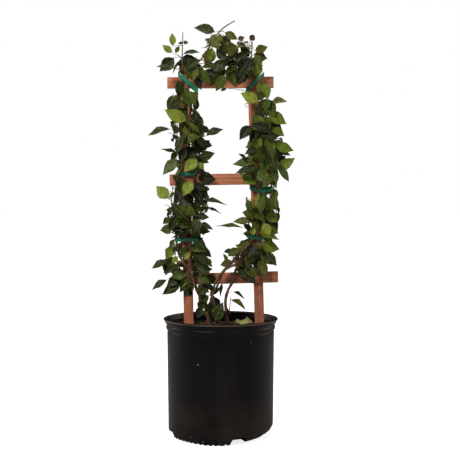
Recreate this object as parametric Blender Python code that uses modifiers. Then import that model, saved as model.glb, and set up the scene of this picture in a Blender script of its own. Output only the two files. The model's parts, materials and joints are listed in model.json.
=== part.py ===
"""Star jasmine trained up a small ladder trellis in a black nursery pot.

Metres, +Z up. The origin is the centre of the pot's flat underside, the front is -Y and +X is the
viewer's right. The pot is filled with bark mix, the trellis stands in it, and three woody stems climb
to the trellis, where green tape ties them. Each mass of foliage grows by one seeded rule from a leader
that meets its limb 0.3 mm clear.
"""

import math
import random
from collections import namedtuple

import bmesh
import bpy
from mathutils import Matrix, Quaternion, Vector
from mathutils.bvhtree import BVHTree
from mathutils.geometry import convex_hull_2d

MM = 0.001
GAP = 0.3 * MM
UP = Vector((0.0, 0.0, 1.0))
OBJECT_NAME = "potted_star_jasmine"

# Pot: a blow moulded nursery pot with a rolled lip and a raised band under it
POT_HEIGHT = 290.5 * MM
LIP_RADIUS = 143.2 * MM
LIP_INNER_RADIUS = 135.5 * MM
LIP_DROP = 9 * MM
NECK_RADIUS = 135.2 * MM
BAND_RADIUS = 136.4 * MM
BAND_TOP_DROP = 18 * MM
BAND_HEIGHT = 8 * MM
BODY_RADIUS = 133.8 * MM
BODY_TOP_DROP = 30 * MM
BASE_RADIUS = 131 * MM
BASE_EDGE = 3 * MM
POT_WALL = 1.8 * MM
POT_SIDES = 36
DRAIN_AZIMUTHS = (20.5, 110.5, 200.5, 290.5)
DRAIN_WIDTH = 36 * MM
DRAIN_HEIGHT = 15 * MM
DRAIN_DEPTH = 24 * MM

SOIL_LEVEL = 262 * MM

# Trellis: two posts with three rails nailed across their fronts
POST_WIDTH = 24.5 * MM
POST_DEPTH = 18 * MM
POST_FOOT = 60 * MM
POST_TOP = 929 * MM
POST_FRONT_Y = 26 * MM
RAIL_HEIGHT = 28.5 * MM
RAIL_DEPTH = 9 * MM
WOOD_EDGE = 1.2 * MM
Post = namedtuple("Post", "name x_at_soil lean")
POSTS = (
    Post("post_left", -81.5 * MM, math.radians(1.0)),
    Post("post_right", 98.8 * MM, math.radians(1.7)),
)
Rail = namedtuple("Rail", "name middle_x middle_z length rise")
RAILS = (
    Rail("rail_bottom", 11.5 * MM, 387.5 * MM, 267 * MM, math.radians(1.5)),
    Rail("rail_middle", 4.5 * MM, 637 * MM, 267 * MM, math.radians(0.8)),
    Rail("rail_top", -0.8 * MM, 879.8 * MM, 267.5 * MM, math.radians(0.3)),
)

# Ties: bands of green tape drawn round a post and the stems in front of it, with a slack end each side
TIE_WIDTH = 8.5 * MM
TIE_THICKNESS = 0.8 * MM
TIE_STEP = 13 * MM
TIE_MIDDLE_Y = 20 * MM
TIE_SLACK_FRONT_Y = 15.5 * MM
TIE_SLACK_BACK_Y = 30 * MM
Tie = namedtuple("Tie", "name post held left right height slope_x slope_y sag")
LEFT_PAIR = ("stem_left", "bough_left")
RIGHT_THREE = ("stem_right", "stem_twisted_first", "stem_twisted_second")
RIGHT_PAIR = ("stem_right", "stem_twisted_first")
TIES = (
    Tie("tie_left_low", 0, LEFT_PAIR, -116.0 * MM, -60.0 * MM, 485 * MM, 0.0, 0.05, 0.0),
    Tie("tie_left_middle", 0, LEFT_PAIR, -108.0 * MM, -61.5 * MM, 659 * MM, 0.02, 0.3, 0.0),
    Tie("tie_left_top", 0, LEFT_PAIR, -107.0 * MM, -57.0 * MM, 880 * MM, -0.86, 0.0, 0.0),
    Tie("tie_right_low", 1, RIGHT_THREE, 66.0 * MM, 108.0 * MM, 490 * MM, -0.18, 0.0, 0.0),
    Tie("tie_right_middle", 1, RIGHT_PAIR, 73.0 * MM, 135.0 * MM, 616 * MM, 0.0, -0.05, 9 * MM),
    Tie("tie_right_top", 1, ("stem_right",), 63.0 * MM, 109.0 * MM, 880 * MM, 0.92, 0.0, 0.0),
)

# Limbs: woody stems and boughs, each a tapering tube through a few points in millimetres
LIMB_STEP = 21 * MM
FLARE = 0.55
FLARE_HEIGHT = 14 * MM
TWIST_STEP = 14 * MM
TWIST_RADIUS = 3.7 * MM
TWIST_TURNS = 2.0
TWIST_FADE = 34 * MM
SOIL_TOP = SOIL_LEVEL / MM + 0.3
Limb = namedtuple("Limb", "name base_radius tip_radius flared twist route")
STEM_LEFT_ROUTE = (
    (-28, -3, SOIL_TOP), (-29, -3, 277), (-35, -2, 305), (-48, 0, 335), (-60.5, 2, 362),
    (-71, 5, 392), (-79, 11, 431), (-84, 20.8, 478), (-80, 19, 527), (-72, 14, 575),
    (-67.5, 11.5, 625), (-67.5, 11.5, 655), (-70, 15, 700), (-74, 18, 750), (-76, 18, 810),
    (-78.5, 13.5, 850), (-83, 12.8, 880), (-86, 12, 900),
)
BOUGH_LEFT_ROUTE = (
    (-79.8, 3, 397), (-84, 4, 408), (-92, 7, 424), (-104, 15, 446), (-111, 25, 466), (-112, 27, 490),
    (-115.5, 20, 535), (-116, 13, 590), (-110, 12, 625), (-100.5, 12, 655), (-97, 15, 690), (-101, 17, 745),
    (-105, 18, 805), (-101, 14, 845), (-95, 13, 875), (-94.5, 12, 900),
)
STEM_RIGHT_ROUTE = (
    (16, 6, SOIL_TOP), (15.5, 6, 277), (13, 7, 307), (12, 8, 333), (18, 9, 357), (29, 9.5, 378),
    (34, 9.5, 398), (46, 10, 425), (66, 12, 446), (88, 18, 467), (98, 21, 492), (112, 18, 532),
    (125, 14, 575), (127, 12, 612), (124, 11.5, 652), (119.5, 15, 705), (119.5, 18, 755),
    (113, 18, 803), (102, 14, 842), (90, 13, 872), (82, 12, 900),
)
TWIST_ROUTE = (
    (-8, -10, SOIL_TOP), (-9, -10, 275), (-16, -9, 305), (-21, -8, 335), (-19, -7, 356), (-12, -6, 371),
    (-5, -5, 389), (6, -5, 407), (19, -5, 418), (35, -5, 428), (47, -3, 443), (59, 3, 459), (69, 11, 474),
    (76, 18.5, 491),
)
TWIST_END = TWIST_ROUTE[-1][2] * MM
TWIST_FIRST_TOP = (
    (82, 20.5, 525), (88, 17, 570), (92.5, 12, 615), (93, 11.5, 655), (89, 16, 705),
    (84, 20, 765), (81, 17, 822), (78, 13, 860),
)
TWIST_SECOND_TOP = ((71, 21, 520), (67, 21, 560), (65, 17, 592))
LIMBS = (
    Limb("stem_left", 4.6 * MM, 1.7 * MM, True, None, STEM_LEFT_ROUTE),
    Limb("bough_left", 3.3 * MM, 1.6 * MM, False, None, BOUGH_LEFT_ROUTE),
    Limb("stem_right", 4.0 * MM, 1.7 * MM, True, None, STEM_RIGHT_ROUTE),
    Limb("stem_twisted_first", 3.0 * MM, 1.6 * MM, False, 0.0, TWIST_ROUTE + TWIST_FIRST_TOP),
    Limb("stem_twisted_second", 2.9 * MM, 1.9 * MM, False, math.pi, TWIST_ROUTE + TWIST_SECOND_TOP),
)

# Foliage: what every mass shares
LEADER_RADIUS = 1.7 * MM
SHOOT_RADIUS = 1.25 * MM
TWIG_TIP_SHARE = 0.6
TWIG_STEP = 30 * MM
INTERNODE = 46 * MM
SHOOT_INTERNODE = 36 * MM
BARE_START = 16 * MM
SUNK = 2.5 * MM
ROOT_PAST_AXIS = 0.25 * MM
LEAF_LENGTH = 55 * MM
LEAF_WIDTH_SHARE = 0.52
LEAF_THICKNESS = 1.3 * MM
LEAF_DROOP = 0.16
LEAF_FOLD = 0.22
LEAF_TRIES = 7
SHOOT_TRIES = 6
TIP_TRIES = 40
CLEAR = 0.7 * MM

# Masses climb a limb from one height to another, standing off it in a heading that turns as they climb.
# A heading of 0 is the viewer's right, 90 the back, 180 the left and 270 the front. Space is how far
# left, right, down and up the leaves that the rule adds may reach, and tips are the furthest leaf tips,
# as x and z, all in millimetres. Shoots is how many more the rule adds.
Mass = namedtuple("Mass", "name limb start end headings stand_off front seed leaf shoots space tips")
MASSES = (
    Mass("foliage_base_left_outer", "stem_left", 368, 474, (200, 190), 34, True, 11, 1.0, 2,
         (-150, -60, 345, 490), ((-139, 425), (-172, 420), (-172, 362), (-142, 387), (-147, 348))),
    Mass("foliage_base_left_inner", "stem_left", 318, 458, (315, 350), 24, True, 12, 1.0, 2,
         (-80, -18, 290, 490), ((-22, 430), (-27, 390), (-92, 347), (-24, 335), (-57, 308), (3, 280))),
    Mass("foliage_base_left_back", "stem_left", 415, 520, (20, 88), 50, False, 13, 1.0, 2,
         (-130, -20, 380, 560), ()),
    Mass("foliage_low_left_outer", "bough_left", 500, 618, (250, 235), 12, True, 21, 1.0, 2,
         (-140, -70, 488, 650), ((-160, 608), (-151, 510), (-144, 545))),
    Mass("foliage_low_left_inner", "stem_left", 500, 618, (315, 320), 14, True, 22, 1.0, 2,
         (-90, -30, 488, 650), ((-32, 590), (13, 577), (3, 552), (-32, 537), (-22, 497))),
    Mass("foliage_low_left_back", "stem_left", 545, 676, (25, 95), 50, False, 23, 1.0, 2,
         (-135, -30, 540, 720), ()),
    Mass("foliage_high_left_outer", "bough_left", 676, 838, (225, 215), 12, True, 31, 1.0, 2,
         (-138, -72, 655, 835), ((-184, 757), (-152, 711), (-142, 650), (-138, 783))),
    Mass("foliage_high_left_inner", "stem_left", 672, 836, (290, 315), 13, True, 32, 1.0, 2,
         (-95, -40, 630, 835), ((1, 752), (-14, 703), (-14, 635), (-77, 612))),
    Mass("foliage_high_left_back", "stem_left", 728, 862, (20, 95), 50, False, 33, 1.0, 2,
         (-130, -50, 700, 920), ()),
    Mass("foliage_base_right_outer", "stem_right", 440, 480, (285, 270), 22, True, 41, 1.0, 3,
         (60, 140, 385, 510), ((146, 485), (141, 422), (103, 387))),
    Mass("foliage_base_right_inner", "stem_twisted_first", 386, 470, (290, 240), 19, True, 42, 1.0, 3,
         (5, 90, 410, 490), ((0, 432), (26, 470), (6, 452), (52, 425))),
    Mass("foliage_base_right_low", "stem_right", 296, 340, (330, 350), 12, True, 43, 0.85, 0,
         (10, 65, 290, 360), ((61, 340), (63, 312))),
    Mass("foliage_base_right_back", "stem_right", 420, 505, (75, 85), 46, False, 44, 1.0, 2,
         (30, 140, 380, 540), ()),
    Mass("foliage_low_right_outer", "stem_right", 512, 592, (280, 290), 10, True, 51, 1.0, 3,
         (85, 142, 490, 625), ((148, 530), (152, 575))),
    Mass("foliage_low_right_inner", "stem_twisted_first", 512, 592, (260, 250), 12, True, 52, 1.0, 3,
         (55, 110, 490, 625), ((56, 550), (-13, 512))),
    Mass("foliage_low_right_back", "stem_right", 535, 668, (60, 115), 48, False, 53, 1.0, 2,
         (50, 150, 520, 700), ()),
    Mass("foliage_high_right_outer", "stem_right", 672, 826, (300, 310), 12, True, 61, 1.0, 2,
         (90, 165, 630, 840), ((166, 827), (163, 805), (158, 745), (183, 720), (186, 672), (178, 637))),
    Mass("foliage_high_right_inner", "stem_twisted_first", 672, 836, (265, 250), 13, True, 62, 1.0, 3,
         (55, 110, 625, 850), ((51, 827), (46, 737), (28, 655), (43, 625))),
    Mass("foliage_high_right_back", "stem_right", 712, 850, (70, 120), 48, False, 63, 1.0, 2,
         (50, 150, 690, 920), ()),
)

# The top: three shoots that run on past the ends of the limbs, through points in millimetres
Top = namedtuple("Top", "name limb route seed leaf shoots space tips")
TOPS = (
    Top("foliage_top_left", "bough_left", ((-95, 10, 915), (-96, 7, 940), (-95, 4, 970), (-94, 3, 1002)),
        71, 0.85, 0, (-135, -72, 895, 985), ((-149, 912), (-129, 1002), (-147, 970), (-50, 950))),
    Top("foliage_top_arch", "stem_left",
        ((-82, 10, 908), (-69, 6, 917), (-50, 3, 934), (-30, 0, 962), (-8, -2, 997), (12, 0, 1016),
         (36, 3, 1031)),
        72, 1.0, 0, (-60, 40, 865, 1000),
        ((-67, 1007), (-44, 927), (18, 905), (-30, 880), (-4, 884), (40, 985), (-8, 940))),
    Top("foliage_top_right", "stem_right", ((78, 10, 915), (76, 6, 940), (78, 4, 960), (77.5, 3, 975)),
        73, 1.1, 1, (25, 110, 865, 985),
        ((74, 998), (118, 930), (6, 872), (48, 872), (30, 940), (66, 975), (32, 962))),
)

Twig = namedtuple("Twig", "points radii")
Leaf = namedtuple("Leaf", "root along face length width droop")


def clear_scene():
    for old in list(bpy.data.objects):
        bpy.data.objects.remove(old, do_unlink=True)


def make_collection(name):
    made = bpy.data.collections.new(name)
    bpy.context.scene.collection.children.link(made)
    return made


def make_material(name, colour, roughness):
    material = bpy.data.materials.new(name)
    material.use_nodes = True
    shader = material.node_tree.nodes["Principled BSDF"]
    shader.inputs["Base Color"].default_value = (*colour, 1.0)
    shader.inputs["Roughness"].default_value = roughness
    shader.inputs["Metallic"].default_value = 0.0
    return material


def add_object(name, data, collection, material=None):
    made = bpy.data.objects.new(name, data)
    collection.objects.link(made)
    if material:
        data.materials.append(material)
    return made


def mesh_from(bm, name):
    mesh = bpy.data.meshes.new(name)
    bm.to_mesh(mesh)
    bm.free()
    return mesh


def shape_of(obj):
    """The corners and triangles of an object as its modifiers leave it, in world space."""
    evaluated = obj.evaluated_get(bpy.context.evaluated_depsgraph_get())
    mesh = evaluated.to_mesh()
    mesh.calc_loop_triangles()
    corners = [evaluated.matrix_world @ vertex.co for vertex in mesh.vertices]
    triangles = [tuple(triangle.vertices) for triangle in mesh.loop_triangles]
    evaluated.to_mesh_clear()
    return corners, triangles


def hide_helper(obj):
    obj.hide_render = True
    obj.display_type = "WIRE"


def turned(name, profile, collection, material):
    """A profile of (radius, height) points turned about Z. It runs up the inside and down the outside."""
    bm = bmesh.new()
    corners = [bm.verts.new((radius, 0.0, height)) for radius, height in profile]
    for first, second in zip(corners, corners[1:]):
        bm.edges.new((first, second))
    made = add_object(name, mesh_from(bm, name), collection, material)
    screw = made.modifiers.new("turn", "SCREW")
    screw.axis = "Z"
    screw.steps = POT_SIDES
    screw.render_steps = POT_SIDES
    screw.use_merge_vertices = True
    screw.merge_threshold = 0.00005
    screw.use_smooth_shade = True
    return made


def box(name, size, location, turn_y, edge, collection, material=None):
    bm = bmesh.new()
    bmesh.ops.create_cube(bm, size=1.0)
    bmesh.ops.scale(bm, vec=Vector(size), verts=bm.verts)
    made = add_object(name, mesh_from(bm, name), collection, material)
    made.location = location
    made.rotation_euler = (0.0, turn_y, 0.0)
    if edge:
        bevel = made.modifiers.new("edges", "BEVEL")
        bevel.width = edge
        bevel.segments = 1
    return made


def cut(target, cutter):
    boolean = target.modifiers.new("cut " + cutter.name, "BOOLEAN")
    boolean.operation = "DIFFERENCE"
    boolean.solver = "EXACT"
    boolean.object = cutter


def pot_inside():
    """The inner side of the pot's wall from the floor up, as (radius, height)."""
    return [
        (0.0, POT_WALL),
        (BASE_RADIUS - BASE_EDGE, POT_WALL),
        (BASE_RADIUS - POT_WALL, POT_WALL + BASE_EDGE),
        (BODY_RADIUS - POT_WALL, POT_HEIGHT - BODY_TOP_DROP),
        (BAND_RADIUS - POT_WALL, POT_HEIGHT - BAND_TOP_DROP - BAND_HEIGHT),
        (BAND_RADIUS - POT_WALL, POT_HEIGHT - BAND_TOP_DROP),
        (NECK_RADIUS - POT_WALL, POT_HEIGHT - 0.5 * (BAND_TOP_DROP + LIP_DROP)),
        (LIP_INNER_RADIUS, POT_HEIGHT - 0.4 * LIP_DROP),
    ]


def pot_outside():
    """The outer side from the top of the lip down to the middle of the underside."""
    bead = 0.5 * LIP_DROP
    return [
        (LIP_INNER_RADIUS + 1.2 * MM, POT_HEIGHT),
        (LIP_RADIUS - 1.4 * MM, POT_HEIGHT),
        (LIP_RADIUS, POT_HEIGHT - 0.4 * bead),
        (LIP_RADIUS - 0.4 * MM, POT_HEIGHT - bead),
        (LIP_RADIUS - 3.0 * MM, POT_HEIGHT - 1.15 * bead),
        (LIP_RADIUS - 3.4 * MM, POT_HEIGHT - LIP_DROP),
        (NECK_RADIUS, POT_HEIGHT - 0.5 * (BAND_TOP_DROP + LIP_DROP)),
        (BAND_RADIUS, POT_HEIGHT - BAND_TOP_DROP),
        (BAND_RADIUS, POT_HEIGHT - BAND_TOP_DROP - BAND_HEIGHT),
        (BODY_RADIUS, POT_HEIGHT - BODY_TOP_DROP),
        (BASE_RADIUS, BASE_EDGE),
        (BASE_RADIUS - BASE_EDGE, 0.0),
        (0.0, 0.0),
    ]


def make_pot(parts, helpers, material):
    pot = turned("pot", pot_inside() + pot_outside(), parts, material)
    for index, azimuth in enumerate(DRAIN_AZIMUTHS):
        turn = math.radians(azimuth)
        out = Vector((math.sin(turn), -math.cos(turn), 0.0))
        size = (DRAIN_WIDTH, DRAIN_DEPTH, 2 * DRAIN_HEIGHT)
        cutter = box(f"drain_{index}", size, out * BASE_RADIUS, 0.0, 0.35 * DRAIN_HEIGHT, helpers)
        cutter.rotation_euler = (0.0, 0.0, turn)
        hide_helper(cutter)
        cut(pot, cutter)
    return pot


def make_soil(parts, helpers, material, slots):
    """The bark mix: the inside of the pot less a small gap, with a slot round each post."""
    inner = [point for point in pot_inside() if point[1] < SOIL_LEVEL - GAP]
    rim = (BODY_RADIUS - POT_WALL - GAP, SOIL_LEVEL)
    side = [(radius - GAP, height + GAP) for radius, height in reversed(inner[1:])]
    profile = [(0.0, SOIL_LEVEL), rim] + side + [(0.0, POT_WALL + GAP)]
    soil = turned("bark_mix", profile, parts, material)
    for slot in slots:
        cut(soil, slot)
    return soil


def post_centre(post, height):
    return post.x_at_soil - math.tan(post.lean) * (height - SOIL_LEVEL)


def make_posts(parts, helpers, material):
    """The two posts, and the helpers that cut their slots in the bark mix."""
    length = POST_TOP - POST_FOOT
    middle = 0.5 * (POST_TOP + POST_FOOT)
    made, slots = [], []
    for post in POSTS:
        place = (post_centre(post, middle), POST_FRONT_Y + 0.5 * POST_DEPTH, middle)
        size = (POST_WIDTH, POST_DEPTH, length)
        made.append(box(post.name, size, place, -post.lean, WOOD_EDGE, parts, material))
        wider = [side + 2 * GAP for side in size]
        slot = box("slot_" + post.name, wider, place, -post.lean, 0.0, helpers)
        hide_helper(slot)
        slots.append(slot)
    return made, slots


def make_rails(parts, material):
    made = []
    for rail in RAILS:
        place = (rail.middle_x, POST_FRONT_Y - GAP - 0.5 * RAIL_DEPTH, rail.middle_z)
        size = (rail.length, RAIL_DEPTH, RAIL_HEIGHT)
        made.append(box(rail.name, size, place, -rail.rise, WOOD_EDGE, parts, material))
    return made


def tie_height(tie, x, y):
    """The height of a tie's slanting middle line over a point of its loop."""
    return tie.height + tie.slope_x * (x - 0.5 * (tie.left + tie.right)) + tie.slope_y * (y - TIE_MIDDLE_Y)


def tie_loop(tie, limbs):
    """The loop of a tie: the hull of its post's back, of the stems that it holds and of its slack ends."""
    room = GAP + 0.5 * TIE_THICKNESS
    middle = 0.5 * (tie.left + tie.right)
    half = 0.5 * TIE_WIDTH
    flat = [Vector((x, y)) for x in (tie.left, tie.right) for y in (TIE_SLACK_FRONT_Y, TIE_SLACK_BACK_Y)]
    back = POST_FRONT_Y + POST_DEPTH + room
    for side in (-1, 1):
        for reach in (-half, half):
            x = post_centre(POSTS[tie.post], tie.height) + side * 0.5 * POST_WIDTH
            x = post_centre(POSTS[tie.post], tie_height(tie, x, back) + reach)
            flat.append(Vector((x + side * (0.5 * POST_WIDTH + room), back)))
    for name in tie.held:
        centre, _ = along_limb(limbs[name], tie.height)
        for reach in (-half, 0.0, half):
            centre, radius = along_limb(limbs[name], tie_height(tie, centre.x, centre.y) + reach)
            flat += [(centre + heading(turn) * (radius + room) / 0.92).xy for turn in range(20, 380, 45)]
    hull = [flat[index].to_3d() for index in convex_hull_2d(flat)]
    loop = walked(hull + hull[:1], TIE_STEP)[:-1]
    front = min(point.y for point in loop)
    for point in loop:
        across = (point.x - middle) / (tie.right - middle)
        share = (TIE_MIDDLE_Y - point.y) / (TIE_MIDDLE_Y - front)
        sag = tie.sag * max(0.0, share) * max(0.0, 1.0 - across * across)
        point.z = tie_height(tie, point.x, point.y) - sag
    return loop


def make_ties(parts, material, limbs):
    made = []
    half = Vector((0.0, 0.0, 0.5 * TIE_WIDTH))
    for tie in TIES:
        bm = bmesh.new()
        loop = tie_loop(tie, limbs)
        upper = [bm.verts.new(point + half) for point in loop]
        lower = [bm.verts.new(point - half) for point in loop]
        for step in range(len(loop)):
            bm.faces.new((lower[step - 1], lower[step], upper[step], upper[step - 1]))
        band = add_object(tie.name, mesh_from(bm, tie.name), parts, material)
        solidify = band.modifiers.new("tape", "SOLIDIFY")
        solidify.thickness = TIE_THICKNESS
        solidify.offset = 0.0
        made.append(band)
    return made


def smooth_route(points, step):
    """Points about one step apart on a smooth curve through the given ones."""
    padded = [2 * points[0] - points[1]] + list(points) + [2 * points[-1] - points[-2]]
    route = [points[0].copy()]
    for before, start, end, after in zip(padded, padded[1:], padded[2:], padded[3:]):
        count = max(1, round((end - start).length / step))
        for index in range(1, count + 1):
            t = index / count
            linear = (end - before) * t
            square = (2 * before - 5 * start + 4 * end - after) * t * t
            cube = (3 * start - before - 3 * end + after) * t * t * t
            route.append(start + 0.5 * (linear + square + cube))
    return route


def walked(points, step):
    """Points about one step apart along straight runs between the given points."""
    dense = [points[0].copy()]
    for start, end in zip(points, points[1:]):
        count = max(1, round((end - start).length / step))
        dense += [start.lerp(end, (index + 1) / count) for index in range(count)]
    return dense


def limb_twig(limb):
    """The centre line and radii of a limb, with its twist round the shared route and its root flare."""
    twisted = limb.twist is not None
    route = smooth_route([Vector(point) * MM for point in limb.route], TWIST_STEP if twisted else LIMB_STEP)
    lengths = [0.0]
    for first, second in zip(route, route[1:]):
        lengths.append(lengths[-1] + (second - first).length)
    points, radii = [], []
    for index, (point, length) in enumerate(zip(route, lengths)):
        share = length / lengths[-1]
        radius = limb.base_radius + (limb.tip_radius - limb.base_radius) * share**0.8
        flare = FLARE * math.exp(-length / FLARE_HEIGHT) if limb.flared else 0.0
        if twisted:
            climbed = min(1.0, (point.z - SOIL_LEVEL) / (TWIST_END - SOIL_LEVEL))
            turn = limb.twist + 2 * math.pi * TWIST_TURNS * climbed
            fade = max(0.0, 1.0 - max(0.0, point.z - TWIST_END) / TWIST_FADE)
            tangent = (route[min(index + 1, len(route) - 1)] - route[max(index - 1, 0)]).normalized()
            deep = perpendicular(Vector((0.0, 1.0, 0.0)), tangent)
            across = deep.cross(tangent)
            point = point + fade * TWIST_RADIUS * (across * math.cos(turn) + deep * math.sin(turn))
        points.append(point)
        radii.append(radius * (1.0 + flare))
    points[1].x, points[1].y = points[0].x, points[0].y
    points[0].z = limb.route[0][2] * MM
    return Twig(points, radii)


def tube_curve(name, twig, collection, profile=None, resolution=1):
    """A curve object through the twig's points, round or with the outline of the profile curve."""
    curve = bpy.data.curves.new(name, "CURVE")
    curve.dimensions = "3D"
    curve.twist_mode = "MINIMUM"
    curve.use_fill_caps = True
    if profile:
        curve.bevel_mode = "OBJECT"
        curve.bevel_object = profile
    else:
        curve.bevel_depth = 1.0
        curve.bevel_resolution = resolution
    spline = curve.splines.new("POLY")
    spline.points.add(len(twig.points) - 1)
    for control, point, radius in zip(spline.points, twig.points, twig.radii):
        control.co = (*point, 1.0)
        control.radius = radius
    return add_object(name, curve, collection)


def meshes_of(curves, collection, material):
    """Turns curve objects into closed mesh objects of the same names, and removes the curves."""
    graph = bpy.context.evaluated_depsgraph_get()
    made = []
    for curve in curves:
        mesh = bpy.data.meshes.new_from_object(curve.evaluated_get(graph))
        bm = bmesh.new()
        bm.from_mesh(mesh)
        bmesh.ops.remove_doubles(bm, verts=bm.verts, dist=0.01 * MM)
        bmesh.ops.recalc_face_normals(bm, faces=bm.faces)
        bm.to_mesh(mesh)
        bm.free()
        mesh.shade_smooth()
        name = curve.name
        place = curve.matrix_world.copy()
        bpy.data.objects.remove(curve, do_unlink=True)
        mesh.name = name
        solid = add_object(name, mesh, collection, material)
        solid.matrix_world = place
        made.append(solid)
    return made


def make_limbs(parts, material, limbs):
    curves = [tube_curve(name, twig, parts) for name, twig in limbs.items()]
    return meshes_of(curves, parts, material)


def heading(degrees):
    turn = math.radians(degrees)
    return Vector((math.cos(turn), math.sin(turn), 0.0))


def along_limb(twig, height):
    """The centre and radius of a limb where it first reaches a height."""
    for index in range(1, len(twig.points)):
        low, high = twig.points[index - 1], twig.points[index]
        if low.z <= height <= high.z:
            share = (height - low.z) / max(high.z - low.z, 1e-9)
            radius = twig.radii[index - 1] + share * (twig.radii[index] - twig.radii[index - 1])
            return low.lerp(high, share), radius
    raise ValueError(f"the limb doesn't reach a height of {height:.3f}")


def leader_of(mass, limb):
    """The route of a mass's leader: off its limb, then up beside it at the mass's stand off."""
    start, end = mass.start * MM, mass.end * MM
    centre, radius = along_limb(limb, start)
    above, _ = along_limb(limb, start + 5 * MM)
    out = perpendicular(heading(mass.headings[0]), (above - centre).normalized())
    route = [centre + out * (radius + GAP), centre + out * (radius + GAP + 3 * MM)]
    steps = max(2, round((end - start) / (28 * MM)))
    for step in range(1, steps + 1):
        share = step / steps
        centre, _ = along_limb(limb, start + (end - start) * share)
        reach = mass.stand_off * MM * min(1.0, 0.6 + 0.6 * share)
        turn = mass.headings[0] + (mass.headings[1] - mass.headings[0]) * min(1.0, 1.3 * share)
        route.append(centre + heading(turn) * reach)
    return route


def tapered(points, radius):
    """A twig through the points, thinner towards its tip."""
    last = len(points) - 1
    shares = [index / last for index in range(last + 1)]
    return Twig(points, [radius * (1.0 - (1.0 - TWIG_TIP_SHARE) * share) for share in shares])


def leaf_frame(leaf):
    side = leaf.face.cross(leaf.along).normalized()
    return side, leaf.along.cross(side).normalized()


def leaf_surface(leaf, share, across):
    """A point on the middle surface of a blade: share runs from root to tip, across is in metres."""
    side, face = leaf_frame(leaf)
    lift = LEAF_FOLD * abs(across) - leaf.droop * leaf.length * share * share
    return leaf.root + leaf.along * (leaf.length * share) + side * across + face * lift


def unit_blade():
    """A six sided sphere of two rings: eight corners and twelve faces, which every leaf is bent from."""
    bm = bmesh.new()
    quarter_turn = Matrix.Rotation(-0.5 * math.pi, 4, "Z")
    bmesh.ops.create_uvsphere(bm, u_segments=6, v_segments=2, radius=1.0, matrix=quarter_turn)
    corners = [vertex.co.copy() for vertex in bm.verts]
    faces = [[vertex.index for vertex in face.verts] for face in bm.faces]
    bm.free()
    return corners, faces


UNIT_CORNERS, UNIT_FACES = unit_blade()


def leaf_corners(leaf, pad=0.0, root_share=0.0):
    """The corners of a leaf's solid. Pad thickens it all round, and root_share leaves out its foot."""
    _, face = leaf_frame(leaf)
    corners = []
    for unit in UNIT_CORNERS:
        share = 0.5 + 0.5 * unit.x
        if abs(unit.z) > 0.5:
            share = 0.4
        elif 0.1 < share < 0.9:
            share += 0.07 if share < 0.5 else -0.06
        share = root_share + (1.0 - root_share) * share
        narrower = 1.0 if unit.x < 0.0 else 0.86
        across = 0.5 * unit.y / 0.866 * (leaf.width * narrower + 2 * pad)
        if share > 0.99:
            share += pad / leaf.length
        thick = unit.z * (0.5 * LEAF_THICKNESS + pad)
        corners.append(leaf_surface(leaf, share, across) + face * thick)
    return corners


def leaf_tree(leaf, pad, root_share=0.0):
    return BVHTree.FromPolygons(leaf_corners(leaf, pad, root_share), UNIT_FACES)


def middle_and_reach(points):
    middle = sum(points, Vector()) / len(points)
    return middle, max((point - middle).length for point in points)


class Crown:
    """Everything that has grown so far, and the solids that new growth keeps clear of."""

    def __init__(self, solids):
        self.solids = [BVHTree.FromPolygons(*shape_of(solid)) for solid in solids]
        self.leaves = []
        self.twigs = []

    def add_twig(self, twig, owner):
        dense = walked(twig.points, 4 * MM)
        middle, reach = middle_and_reach(dense)
        self.twigs.append((dense, middle, reach, max(twig.radii), owner))

    def add_leaf(self, leaf, owner):
        middle, reach = middle_and_reach(leaf_corners(leaf))
        self.leaves.append((leaf, leaf_tree(leaf, 0.0), leaf_tree(leaf, 0.0, 0.25), middle, reach, owner))

    def twig_is_clear(self, points, radius, owner, skip=0.0):
        """Whether a twig keeps off the solids and off other masses. Skip is a length at its foot."""
        dense = [point for point in walked(points, 3 * MM) if (point - points[0]).length >= skip]
        room = radius + CLEAR
        for tree in self.solids:
            if any(tree.find_nearest(point, room)[0] is not None for point in dense):
                return False
        middle, reach = middle_and_reach(dense)
        for other, centre, span, thick, whose in self.twigs:
            if whose == owner or (centre - middle).length > span + reach + room + thick:
                continue
            if any((a - b).length < room + thick + 0.5 * MM for a in dense for b in other):
                return False
        for _, tree, _, centre, span, whose in self.leaves:
            if whose == owner or (centre - middle).length > span + reach + room:
                continue
            if any(tree.find_nearest(point, room)[0] is not None for point in dense):
                return False
        return True

    def leaf_is_clear(self, leaf, owner, foot):
        """Whether a leaf keeps off the solids, the other leaves, and every twig but at its own foot."""
        whole = leaf_tree(leaf, CLEAR)
        blade = leaf_tree(leaf, CLEAR, 0.25)
        if any(tree.overlap(whole) for tree in self.solids):
            return False
        middle, reach = middle_and_reach(leaf_corners(leaf, CLEAR))
        for other, tree, tree_blade, centre, span, whose in self.leaves:
            if (centre - middle).length > span + reach:
                continue
            paired = whose == owner and (other.root - leaf.root).length < SUNK
            if (tree_blade.overlap(blade) if paired else tree.overlap(whole)):
                return False
        for dense, centre, span, thick, whose in self.twigs:
            if (centre - middle).length > span + reach + thick:
                continue
            tree, free = (blade, foot) if whose == owner else (whole, 0.0)
            for point in dense:
                if (point - leaf.root).length > free and tree.find_nearest(point, thick + CLEAR)[0]:
                    return False
        return True


def outlook(point, front):
    """The way a leaf's face turns: up, outwards from the columns, and to the front or the back."""
    return Vector((0.25 if point.x > 0.0 else -0.25, -0.85 if front else 0.85, 0.4))


def perpendicular(vector, axis):
    return (vector - axis * vector.dot(axis)).normalized()


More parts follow.
